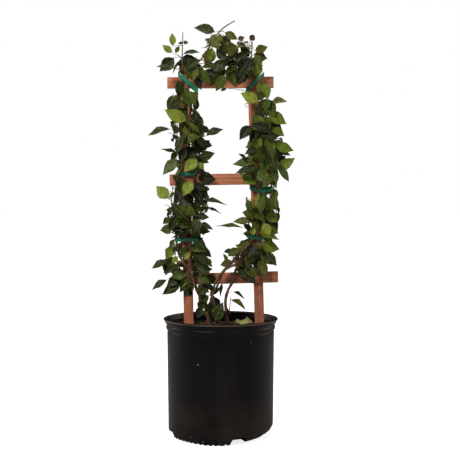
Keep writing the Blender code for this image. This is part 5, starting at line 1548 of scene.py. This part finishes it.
def sight(leaf, share, across):
    """A point of a leaf, and the direction in which the camera sees it."""
    point = leaf_point(leaf, share, across)
    return point, (point - CAMERA_PLACE).normalized()


def off_line(vector, axis):
    return (vector - axis * vector.dot(axis)).length


def hides_shown(leaf, crown):
    """Whether a leaf comes before one of those that show from the front."""
    centre, reach = middle_and_reach(leaf_hull(leaf)[0])
    away = (centre - CAMERA_PLACE).normalized()
    near = [tree for tree, middle, span in crown.shown if off_line(middle - centre, away) < span + reach]
    hidden = 0
    for share, across in SPOTS:
        point, ray = sight(leaf, share, across)
        hidden += any(tree.ray_cast(point, ray, LEAF_RAY)[0] for tree in near)
    return hidden > HIDDEN_SPOTS


def hides_stem(leaf, crown, ties_only=False, spare=0):
    """Whether a leaf comes before a tie in more than a few spots, or before a stem where that shows."""
    hidden = 0
    for number, (share, across) in enumerate(FINE_SPOTS):
        point, ray = sight(leaf, share, across)
        start = point + ray * 1 * MM
        if number < len(SPOTS) and not ties_only:
            hit = crown.stems.ray_cast(start, ray, STEM_RAY)[0]
            if hit and is_bare(hit):
                return True
        hidden += any(tie.ray_cast(start, ray, TIE_RAY)[0] for tie in crown.ties)
    return hidden > spare


class Grower:
    """Grows one mass: its leader, its shoots and the opposite pairs of leaves on them."""

    def __init__(self, crown, mass, front, settings):
        self.crown = crown
        self.mass = mass
        self.name = mass.name
        self.seed = mass.seed
        self.front = front
        self.settings = settings
        self.left, self.right, self.low, self.high = (side * MM for side in mass.space)
        self.twigs = []
        self.leaves = []

    def inside(self, point):
        if not (self.left <= point.x <= self.right and self.low <= point.z <= self.high):
            return False
        if self.front:
            return FRONT_REACH_Y < point.y < POST_FRONT_Y + POST_DEPTH
        return POST_FRONT_Y < point.y < BACK_REACH_Y

    def keep_twig(self, points, radius):
        twig = tapered(points, radius)
        self.twigs.append(twig)
        self.crown.add_twig(twig, self.name)

    def keep_leaf(self, leaf, shown=False):
        self.leaves.append(leaf)
        self.crown.add_leaf(leaf, self.name, shown)

    def suits(self, leaf):
        """Whether a leaf of the rule's own stays in the outline and hides nothing that shows."""
        if not self.inside(leaf_point(leaf, 1.0, 0.0)):
            return False
        if not all(in_outline(leaf_point(leaf, share, 0.0)) for share in (0.4, 1.0)):
            return False
        return not self.front or not (hides_stem(leaf, self.crown) or hides_shown(leaf, self.crown))

    def leaf_at(self, root, tangent, side, size, tint, rng):
        """Draws a leaf at a node, and draws again with another droop and turn where it isn't clear."""
        for attempt in range(LEAF_TRIES):
            swing = Quaternion(tangent, rng.uniform(-0.5, 0.5) * (1 + attempt))
            out = swing @ side
            along = (out + tangent * rng.uniform(0.0, 0.45) - UP * rng.uniform(0.0, 1.0)).normalized()
            face = perpendicular(outlook(root, self.front) + 0.5 * out, along)
            face = Quaternion(along, rng.uniform(-0.6, 0.6)) @ face
            length = self.settings.leaf_length * self.mass.leaf * size
            length = length * rng.uniform(0.8, 1.12) * (1 - 0.06 * attempt)
            width = length * self.settings.width_share * rng.uniform(0.85, 1.1)
            droop = self.settings.droop * rng.uniform(0.3, 1.7)
            leaf = Leaf(root, along, face, length, width, droop, tint, rng.uniform(0, 6.28))
            if not self.suits(leaf):
                continue
            if self.crown.leaf_is_clear(leaf, self.name, OWN_FOOT):
                self.keep_leaf(leaf)
                return

    def pairs(self, points, spacing, first, size, tint, rng):
        """Opposite pairs of leaves up a twig, each pair a quarter turn on from the last."""
        route = walked(points, 3 * MM)
        length, due, pair = 0.0, first, rng.randrange(2)
        for here, after in zip(route, route[1:]):
            length += (after - here).length
            if length < due:
                continue
            due += spacing * rng.uniform(0.85, 1.15)
            tangent = (after - here).normalized()
            side = perpendicular(UP.cross(tangent) if tangent.z < 0.9 else Vector((1.0, 0.0, 0.0)), tangent)
            side = Quaternion(tangent, 0.5 * math.pi * pair + rng.uniform(-0.35, 0.35)) @ side
            pair += 1
            chosen = tint or rng.choice(self.mass.tints)
            for direction in (side, -side):
                self.leaf_at(after, tangent, direction, size, chosen, rng)

    def free_shoot(self, number, count):
        """A shoot that the rule adds: spread evenly up the leader, out over the mass's own sector."""
        rng = random.Random(self.seed * SHOOT_SEEDS + number)
        place = self.leader[1 + int((len(self.leader) - 2) * (number + rng.random()) / count)]
        tint = rng.choice(self.mass.tints)
        for _ in range(SHOOT_TRIES):
            turn = rng.uniform(190, 350) if self.front else rng.uniform(10, 170)
            out = heading(turn) + UP * rng.uniform(-0.5, 0.7)
            end = place + out.normalized() * rng.uniform(12, 34) * MM
            route = shoot_route(place, end, rng.uniform(0.0, 0.2))
            if self.inside(end) and self.crown.twig_is_clear(route, SHOOT_RADIUS, self.name):
                self.keep_twig(route, SHOOT_RADIUS)
                tangent = (route[-1] - route[-2]).normalized()
                self.leaf_at(end - tangent * SUNK, tangent, tangent, 0.9, tint, rng)
                self.pairs(route, self.settings.fine_internode, 0.6 * BARE_START, 0.85, tint, rng)
                return

    def start_leader(self, route, radius):
        self.route = smooth_route(route, 12 * MM)
        self.leader = walked(self.route, 9 * MM)
        self.keep_twig(self.route, radius)

    def fill(self):
        """Leaves on the leader above its bare foot, and then the shoots that the rule adds."""
        self.pairs(self.route, self.settings.internode, BARE_START, 1.0, None, random.Random(self.seed))
        count = round(self.mass.shoots * self.settings.fullness)
        for number in range(count):
            self.free_shoot(number, count)


def anchors_of(growers, limbs):
    """Where a stalk may start: points up the front leaders, and up the limbs."""
    anchors = [(point, grower) for grower in growers if grower.front for point in grower.leader[1:]]
    for twig in limbs.values():
        anchors += zip(walked(twig.points, 7 * MM), walked_radii(twig, 7 * MM))
    return anchors


def place_seen(growers, anchors, row, number, tries, strict=0.85, depths=None, shown=True):
    """Grows one leaf that shows from the front, on a thin stalk from the nearest leader or limb."""
    column, line, tip_column, tip_line, look_width, tint = row
    crown, settings = growers[0].crown, growers[0].settings
    fronts = [grower for grower in growers if grower.front]
    rng = random.Random(SEEN_SEED + number)
    low = line > LOW_ROW
    about = seen_at(column, line, -8 * MM)
    nearest = sorted(anchors, key=lambda a: (a[0] - about).length + 0.5 * max(0.0, a[0].z - about.z))[:7]
    for attempt in range(tries):
        loose = attempt / tries
        front, back = [depth + looser * loose + lower * low for depth, looser, lower in SEEN_DEPTHS]
        depth = rng.uniform(*(depths or (front, FREE_BACK if line < FREE_ROW else back))) * MM
        root = seen_at(column, line, depth)
        tip = seen_at(tip_column, tip_line, depth + rng.uniform(-13, 9) * MM)
        along = (tip - root).normalized()
        length = (tip - root).length
        look = look_width * SEEN_SCALE * MM
        width = max(look, SEEN_NARROWEST * length)
        tilt = math.acos(min(1.0, look / width))
        view = perpendicular((CAMERA_PLACE - root).normalized(), along)
        faces = [Quaternion(along, sign * tilt) @ view for sign in (1, -1)]
        face = max(faces, key=lambda f: f.z + rng.uniform(0, 0.35))
        face = Quaternion(along, rng.uniform(-0.2, 0.2)) @ face
        droop = 0.5 * settings.droop * rng.uniform(0.2, 1.2)
        root = root + face * droop * length
        length, width = length * SEEN_LONGER, width * SEEN_WIDER
        leaf = Leaf(root, along, face, length, width, droop, tint, rng.uniform(0, 6.28))
        point, holder = nearest[int(rng.random() * rng.random() * len(nearest))]
        if isinstance(holder, Grower):
            start, grower = point, holder
        else:
            start = point + perpendicular(root - point, UP) * holder * 0.8
            grower = min(fronts, key=lambda front: min((point - root).length for point in front.leader))
        if hides_stem(leaf, crown, attempt >= strict * tries, SPARE_SPOTS if shown else 0):
            continue
        if not shown and hides_shown(leaf, crown):
            continue
        if not crown.leaf_is_clear(leaf, grower.name, SEEN_FOOT):
            continue
        route = shoot_route(start, root + along * SUNK, rng.uniform(0.0, 0.14))
        skip = 4 * MM if isinstance(holder, Grower) else 6 * MM
        reach = (start - root).length
        if reach > SHORTEST_STALK:
            if not crown.twig_is_clear(route, STALK_RADIUS, grower.name, skip):
                continue
            grower.keep_twig(route, LONG_STALK_RADIUS if reach > LONG_STALK else STALK_RADIUS)
        grower.keep_leaf(leaf, shown)
        return


def shows_through(column, row, crown):
    """Whether neither a leaf nor a stem shows at a place in the camera's frame."""
    ray = (seen_at(column, row, 0.0) - CAMERA_PLACE).normalized()
    trees = [crown.stems] + crown.ties
    for _, tree, _, centre, span, _ in crown.leaves:
        if centre.y < POST_FRONT_Y + 8 * MM and off_line(centre - CAMERA_PLACE, ray) < span:
            trees.append(tree)
    return not any(tree.ray_cast(CAMERA_PLACE, ray)[0] for tree in trees)


def cover_columns(growers, anchors):
    """Closes the two columns: long leaves first, then short ones, wherever they would show a gap."""
    crown = growers[0].crown
    rng = random.Random(COVER_SEED)
    number = len(SEEN)
    for length in COVER_LENGTHS:
        for rows, tints in COVERS:
            lines, lefts, rights = zip(*rows)
            for row in range(lines[0], lines[-1], COVER_STEP):
                left, right = np.interp(row, lines, lefts), np.interp(row, lines, rights)
                for column in np.arange(left, right, COVER_STEP):
                    if not shows_through(column, row, crown):
                        continue
                    turn = rng.uniform(-0.9, 1.4)
                    side = 1 if column + rng.uniform(-6, 6) > 0.5 * (left + right) else -1
                    half = 0.5 * length * rng.uniform(0.85, 1.15)
                    across, down = side * half * math.cos(turn), half * math.sin(turn)
                    if not left - 3 < column + across < right + 3:
                        continue
                    number += 1
                    share = rng.uniform(0.28, 0.5) if row < LOW_ROW else rng.uniform(0.4, 0.5)
                    ends = (column - across, row - down, column + across, row + down)
                    leaf = (*ends, length * share, rng.choice(tints))
                    strict = 0.6 if ARCH_ROW < row < LOW_ROW and rows is not COVER_HIGH_LEFT else 1.0
                    place_seen(growers, anchors, leaf, number, COVER_TRIES, strict, None, False)


def walked_radii(twig, step):
    """The radii of a twig at the points that are walked along it in the same step."""
    radii = [twig.radii[0]]
    for start, end, first, last in zip(twig.points, twig.points[1:], twig.radii, twig.radii[1:]):
        count = max(1, round((end - start).length / step))
        radii += [first + (index + 1) / count * (last - first) for index in range(count)]
    return radii


def grow_all(settings):
    """Leaders first, then the leaves that show, then the rest, each clear of what is there."""
    limbs = {limb.name: limb_twig(limb) for limb in LIMBS}
    names = [name for name in frame["nodes"] if not name.startswith("foliage")]
    rods = Growth()
    for twig in limbs.values():
        rods.add(*tube(twig.points, [0.8 * radius for radius in twig.radii], 6))
    for top in TOPS:
        route = [Vector(point) * MM for point in top.route]
        rods.add(*tube(route, [LEADER_RADIUS] * len(route), 6))
    ties = []
    for index, tie in enumerate(TIES):
        corners, faces, _, _ = tape_band(tie, tie_loop(tie, limbs), random.Random(TIE_SEED + index))
        ties.append(BVHTree.FromPolygons(corners, faces))
    crown = Crown(names, BVHTree.FromPolygons(rods.points, rods.faces), ties)
    growers = []
    for top in TOPS:
        limb = limbs[top.limb]
        grower = Grower(crown, top, True, settings)
        grower.start_leader([limb.points[-1]] + [Vector(point) * MM for point in top.route], top.radius)
        growers.append(grower)
    for mass in MASSES:
        grower = Grower(crown, mass, not mass.name.endswith("_back"), settings)
        grower.start_leader(leader_of(mass, limbs[mass.limb]), LEADER_RADIUS)
        growers.append(grower)
    anchors = anchors_of(growers, limbs)
    for number, row in enumerate(SEEN_BEFORE):
        place_seen(growers, anchors, row, BEFORE_FIRST + number, SEEN_TRIES, 0.0, BEFORE_DEPTHS)
    for number, row in enumerate(SEEN):
        place_seen(growers, anchors, row, number, SEEN_TRIES)
    cover_columns(growers, anchors)
    for grower in growers:
        grower.fill()
    return growers


def leaf_materials(tint, settings):
    """The two materials of a tint, for the upper side and the underside."""
    upper, under = TINTS[tint]
    rib = tuple(0.55 * a + 0.45 * b for a, b in zip(linear((150, 160, 92)), linear(under)))
    made = []
    for side, colour, strength, mottle, specular, bump, distance in (
            ("upper", upper, settings.vein_strength, 0.8, settings.gloss, 1.0, 2.4 * MM),
            ("under", under, 0.5, 0.2, 0.08, 0.35, 0.5 * MM)):
        values = {"Blade": linear(colour), "Vein": rib, "Strength": strength, "Mottle": mottle}
        made.append(grouped_material(f"leaf_{tint}_{side}", vein_group(), values, specular, bump, distance))
    return made


class JASMINE_OT_foliage(bpy.types.Operator):
    """Grow the twigs and leaves of every mass"""

    bl_idname = "jasmine.foliage"
    bl_label = "Foliage"

    def execute(self, context):
        settings = context.scene.jasmine_leaves
        stems = context.scene.jasmine_stems
        growers = grow_all(settings)
        leaders, shoots, gathered = Growth(), Growth(), defaultdict(Growth)
        for grower in growers:
            for index, twig in enumerate(grower.twigs):
                points, radii, _ = resampled(twig, 6 * MM)
                (shoots if index else leaders).add(*tube(points, radii, 6))
            for leaf in grower.leaves:
                points, uvs = blade(leaf)
                gathered[leaf.tint].add(points, BLADE_FACES, BLADE_SLOTS, uvs)
        masses = [grower.name for grower in growers]
        bark = bark_material("twig_bark", (stems.twig, stems.crack, stems.bloom), 600.0, 0.3, 0.3, 0.4 * MM)
        piece("twigs_leaders", leaders.mesh("twigs_leaders"), masses, [bark])
        colours = (stems.stalk, stems.twig, linear((128, 130, 70)))
        bark = bark_material("stalk_bark", colours, 600.0, 0.3, 0.2, 0.3 * MM)
        piece("twigs_shoots", shoots.mesh("twigs_shoots"), (), [bark])
        for tint, growth in sorted(gathered.items()):
            mesh = growth.mesh(f"leaves_{tint}", sharp_rims=True)
            piece(f"leaves_{tint}", mesh, (), leaf_materials(tint, settings))
        return {"FINISHED"}


def sheet_faces(rows, columns):
    """The faces of a closed sheet between two layers of rows and columns of points."""
    size = (rows + 1) * (columns + 1)
    faces = []
    for row in range(rows):
        for column in range(columns):
            a = row * (columns + 1) + column
            b = a + columns + 1
            faces.append((a, b, b + 1, a + 1))
            faces.append((size + a, size + a + 1, size + b + 1, size + b))
    rim = list(range(columns + 1))
    rim += [row * (columns + 1) + columns for row in range(1, rows + 1)]
    rim += [rows * (columns + 1) + column for column in reversed(range(columns))]
    rim += [row * (columns + 1) for row in reversed(range(1, rows))]
    faces += [(here, after, size + after, size + here) for here, after in zip(rim, rim[1:] + rim[:1])]
    return faces


class JASMINE_OT_fallen_leaf(bpy.types.Operator):
    """Make the curled, fading leaf that lies on the bark mix"""

    bl_idname = "jasmine.fallen_leaf"
    bl_label = "Fallen Leaf"

    def execute(self, context):
        rows, columns = 16, 8
        turn = Matrix.Translation(Vector((57, 30, 271.5)) * MM) @ Matrix.Rotation(math.radians(6), 4, "Z")
        turn = turn @ Matrix.Rotation(math.radians(-3), 4, "Y")
        points, uvs = [], []
        for layer in (0.0, -0.5):
            for row in range(rows + 1):
                share = row / rows
                half = 11 * MM * math.sin(math.pi * min(1.0, 0.04 + 0.96 * share)) ** 0.6
                crumple = 3.4 * MM * (abs(math.sin(share * 9)) - 0.5)
                half += 10 * MM * max(0.0, 1 - abs(share - 0.7) / 0.16) + crumple
                for column in range(columns + 1):
                    across = -1 + 2 * column / columns
                    stands = max(0.0, across) * half
                    y = min(0.0, across) * half * 0.9 + 0.3 * stands
                    z = 0.95 * stands * (0.9 + 0.2 * math.sin(share * 9)) + 3 * MM * (2 * share - 1) ** 2
                    z += 2.4 * MM * min(0.0, across) ** 2 * math.sin(share * 11)
                    z += 1.6 * MM * (abs(math.sin(share * 12 + across * 2.0)) - 0.5) * (1 - abs(2 * share - 1))
                    points.append(turn @ Vector(((share - 0.5) * 48 * MM, y, z + layer * MM)))
                    uvs.append((0.5 + 0.5 * across, share))
        growth = Growth()
        growth.add(points, sheet_faces(rows, columns), None, uvs)
        mesh = growth.mesh("fallen_leaf")
        fix_normals(mesh)
        values = {"Blade": linear((138, 142, 78)), "Vein": linear((172, 172, 112)),
                  "Strength": 0.7, "Mottle": 0.5}
        piece("fallen_leaf", mesh, (),
              [grouped_material("leaf_fallen", vein_group(), values, 0.3, 0.5, 0.8 * MM)])
        return {"FINISHED"}


# Stage


def area_light(name, place, size, power, colour):
    """A round soft light that points at the middle of the plant."""
    light = bpy.data.lights.new(name, "AREA")
    light.shape = "DISK"
    light.size = size
    light.energy = power
    light.color = colour
    made = add_object(name, light)
    made.location = place
    made.rotation_euler = (LIGHT_TARGET - Vector(place)).to_track_quat("-Z", "Y").to_euler()


class JASMINE_OT_stage(bpy.types.Operator):
    """Make the floor, the soft lights and the camera"""

    bl_idname = "jasmine.stage"
    bl_label = "Stage"

    def execute(self, context):
        settings = context.scene.jasmine_stage
        mesh = mesh_of("floor", [(-40, -40, 0), (40, -40, 0), (40, 40, 0), (-40, 40, 0)], [(0, 1, 2, 3)], False)
        paper, tree, shader = new_material("floor_paper")
        shader.inputs["Specular IOR Level"].default_value = 0.1
        finish_shader(tree, shader, tuple(settings.floor_colour), 0.95)
        away = node_in(tree, "ShaderNodeVectorMath", {0: place_in(tree)}, operation="LENGTH").outputs["Value"]
        lift = range_in(tree, away, 0.15, 3.0, settings.floor_lift, 1.0)
        dark, lifted = [node_in(tree, "ShaderNodeEmission", {"Strength": strength}).outputs[0]
                        for strength in (0.0, lift)]
        seen = self.for_camera(tree, dark, lifted)
        both = node_in(tree, "ShaderNodeAddShader", {0: shader.outputs[0], 1: seen}).outputs[0]
        put(tree, tree.nodes["Material Output"].inputs["Surface"], both)
        mesh.materials.append(paper)
        add_object("floor", mesh)
        world = bpy.data.worlds.new("studio")
        context.scene.world = world
        world.use_nodes = True
        tree = world.node_tree
        tree.nodes.clear()
        fill, backdrop = [
            node_in(tree, "ShaderNodeBackground", {"Color": WHITE, "Strength": strength}).outputs[0]
            for strength in (settings.fill, settings.backdrop)
        ]
        node_in(tree, "ShaderNodeOutputWorld", {"Surface": self.for_camera(tree, fill, backdrop)})
        for name, place, size, share, colour in LIGHTS:
            area_light(name, place, size, share * settings.key, colour)
        camera = bpy.data.cameras.new("camera")
        camera.lens = CAMERA_LENS
        camera.sensor_width = SENSOR
        eye = add_object("camera", camera)
        eye.location = CAMERA_PLACE
        eye.rotation_euler = (math.radians(90) - CAMERA_PITCH, 0.0, 0.0)
        context.scene.camera = eye
        context.scene.view_settings.view_transform = "Standard"
        return {"FINISHED"}

    def for_camera(self, tree, others, camera):
        """One shader for what the camera sees, and another for every other ray."""
        ray = node_in(tree, "ShaderNodeLightPath").outputs["Is Camera Ray"]
        return node_in(tree, "ShaderNodeMixShader", {"Fac": ray, 1: others, 2: camera}).outputs[0]


# Settings


def colour_property(name, colour, description):
    return FloatVectorProperty(name=name, description=description, subtype="COLOR", size=3, min=0.0, max=1.0,
                               default=linear(colour))


def share_property(name, default, description, low=0.0, high=1.0):
    return number_property(name, default, description, low, max=high, subtype="FACTOR")


def length_property(name, default, description):
    return FloatProperty(name=name, description=description, default=default, unit="LENGTH")


def number_property(name, default, description, low=0.0, **limits):
    return FloatProperty(name=name, description=description, default=default, min=low, **limits)


class JasminePotSettings(bpy.types.PropertyGroup):
    plastic: colour_property("Plastic", (7, 6, 8), "Colour of the clean plastic")
    dust: colour_property("Dust", (80, 62, 50), "Colour of the soil dust on the pot")
    dust_amount: share_property("Dust Amount", 0.1, "How much dust lies on the wall")
    gloss: share_property("Gloss", 0.1, "How strongly the plastic reflects")
    chips_per_square_metre: IntProperty(
        name="Chips", description="Bark chips on a square metre of the mix", default=9000, min=0)
    chip_length: length_property("Chip Length", 12 * MM, "Length of a typical bark chip")


class JasmineTrellisSettings(bpy.types.PropertyGroup):
    early_wood: colour_property("Early Wood", (184, 117, 84), "Pale streaks of the grain")
    late_wood: colour_property("Late Wood", (138, 82, 58), "Dark streaks of the grain")
    stain: colour_property("Stain", (98, 56, 40), "Colour of the darker rings")
    streaks: number_property("Streaks", 120.0, "How fine the grain is", 1.0)
    tape: colour_property("Tape", (6, 100, 72), "Colour of the plant tape")
    # Painted highlight colour of the tape
    tape_highlight: colour_property("Tape Highlight", (30, 150, 114), "Painted highlight colour of the tape, in pale patches")


class JasmineStemSettings(bpy.types.PropertyGroup):
    bark: colour_property("Bark", (92, 62, 43), "Colour of the woody stems")
    crack: colour_property("Crack", (42, 28, 21), "Colour in the cracks of the bark")
    bloom: colour_property("Bloom", (134, 100, 72), "Colour of the pale patches and spots")
    twig: colour_property("Twig", (92, 64, 45), "Colour of the thin leaders")
    stalk: colour_property("Stalk", (98, 86, 48), "Colour of the young shoots and leaf stalks")
    relief: share_property("Relief", 0.16, "Depth of the bark's ridges, as a share of the radius", 0.0, 0.4)


class JasmineLeafSettings(bpy.types.PropertyGroup):
    leaf_length: length_property("Leaf Length", 57 * MM, "Length of a full grown leaf with its stalk")
    width_share: share_property("Width Share", 0.5, "Width of a leaf as a share of its length", 0.2, 0.9)
    droop: share_property("Droop", 0.16, "How far a leaf's tip bends back, as a share of its length", 0.0, 0.5)
    internode: length_property("Internode", 21 * MM, "Distance between pairs of leaves on a leader")
    fine_internode: length_property("Fine Internode", 15 * MM, "Distance between pairs of leaves on a shoot")
    fullness: number_property("Fullness", 4.0, "How many shoots the rule adds", max=9.0)
    vein_strength: share_property("Vein Strength", 0.32, "How pale the veins are")
    gloss: share_property("Gloss", 0.16, "How strongly the waxy upper side reflects")


class JasmineStageSettings(bpy.types.PropertyGroup):
    floor_colour: FloatVectorProperty(
        name="Floor", description="Colour of the floor", subtype="COLOR", size=3, min=0.0, max=1.0,
        default=(0.6, 0.6, 0.6))
    floor_lift: number_property("Floor Lift", 0.78, "How much brighter the camera sees the floor by the pot")
    backdrop: number_property("Backdrop", 1.0, "Brightness of the background that shows")
    fill: number_property("Fill", 0.07, "Brightness of the soft light from all round")
    key: number_property("Key", 100.0, "Power of the main light", unit="POWER")


class JASMINE_PT_panel(bpy.types.Panel):
    """Pieces of the potted star jasmine"""

    bl_label = "Star Jasmine"
    bl_idname = "JASMINE_PT_panel"
    bl_space_type = "VIEW_3D"
    bl_region_type = "UI"
    bl_category = "Star Jasmine"

    def draw(self, context):
        for operator in OPERATORS:
            self.layout.operator(operator.bl_idname)
        for name, group in SETTINGS.items():
            box = self.layout.box()
            for field in group.__annotations__:
                box.prop(getattr(context.scene, name), field)


OPERATORS = (
    JASMINE_OT_pot, JASMINE_OT_bark_mix, JASMINE_OT_trellis, JASMINE_OT_ties, JASMINE_OT_stems,
    JASMINE_OT_foliage, JASMINE_OT_fallen_leaf, JASMINE_OT_stage,
)
SETTINGS = {
    "jasmine_pot": JasminePotSettings,
    "jasmine_trellis": JasmineTrellisSettings,
    "jasmine_stems": JasmineStemSettings,
    "jasmine_leaves": JasmineLeafSettings,
    "jasmine_stage": JasmineStageSettings,
}


def register():
    for group in SETTINGS.values():
        bpy.utils.register_class(group)
    for operator in OPERATORS:
        bpy.utils.register_class(operator)
    bpy.utils.register_class(JASMINE_PT_panel)
    for name, group in SETTINGS.items():
        setattr(bpy.types.Scene, name, PointerProperty(type=group))


def unregister():
    for name in SETTINGS:
        delattr(bpy.types.Scene, name)
    for made in (JASMINE_PT_panel, *OPERATORS, *SETTINGS.values()):
        bpy.utils.unregister_class(made)


def main():
    for old in [o for o in bpy.data.objects if o.type in ("CAMERA", "LIGHT") or o.name == "Cube"]:
        bpy.data.objects.remove(old, do_unlink=True)
    register()
    bpy.ops.jasmine.pot()
    bpy.ops.jasmine.bark_mix()
    bpy.ops.jasmine.trellis()
    bpy.ops.jasmine.ties()
    bpy.ops.jasmine.stems()
    bpy.ops.jasmine.foliage()
    bpy.ops.jasmine.fallen_leaf()
    bpy.ops.jasmine.stage()
    bpy.context.view_layer.update()


if __name__ == "__main__":
    main()
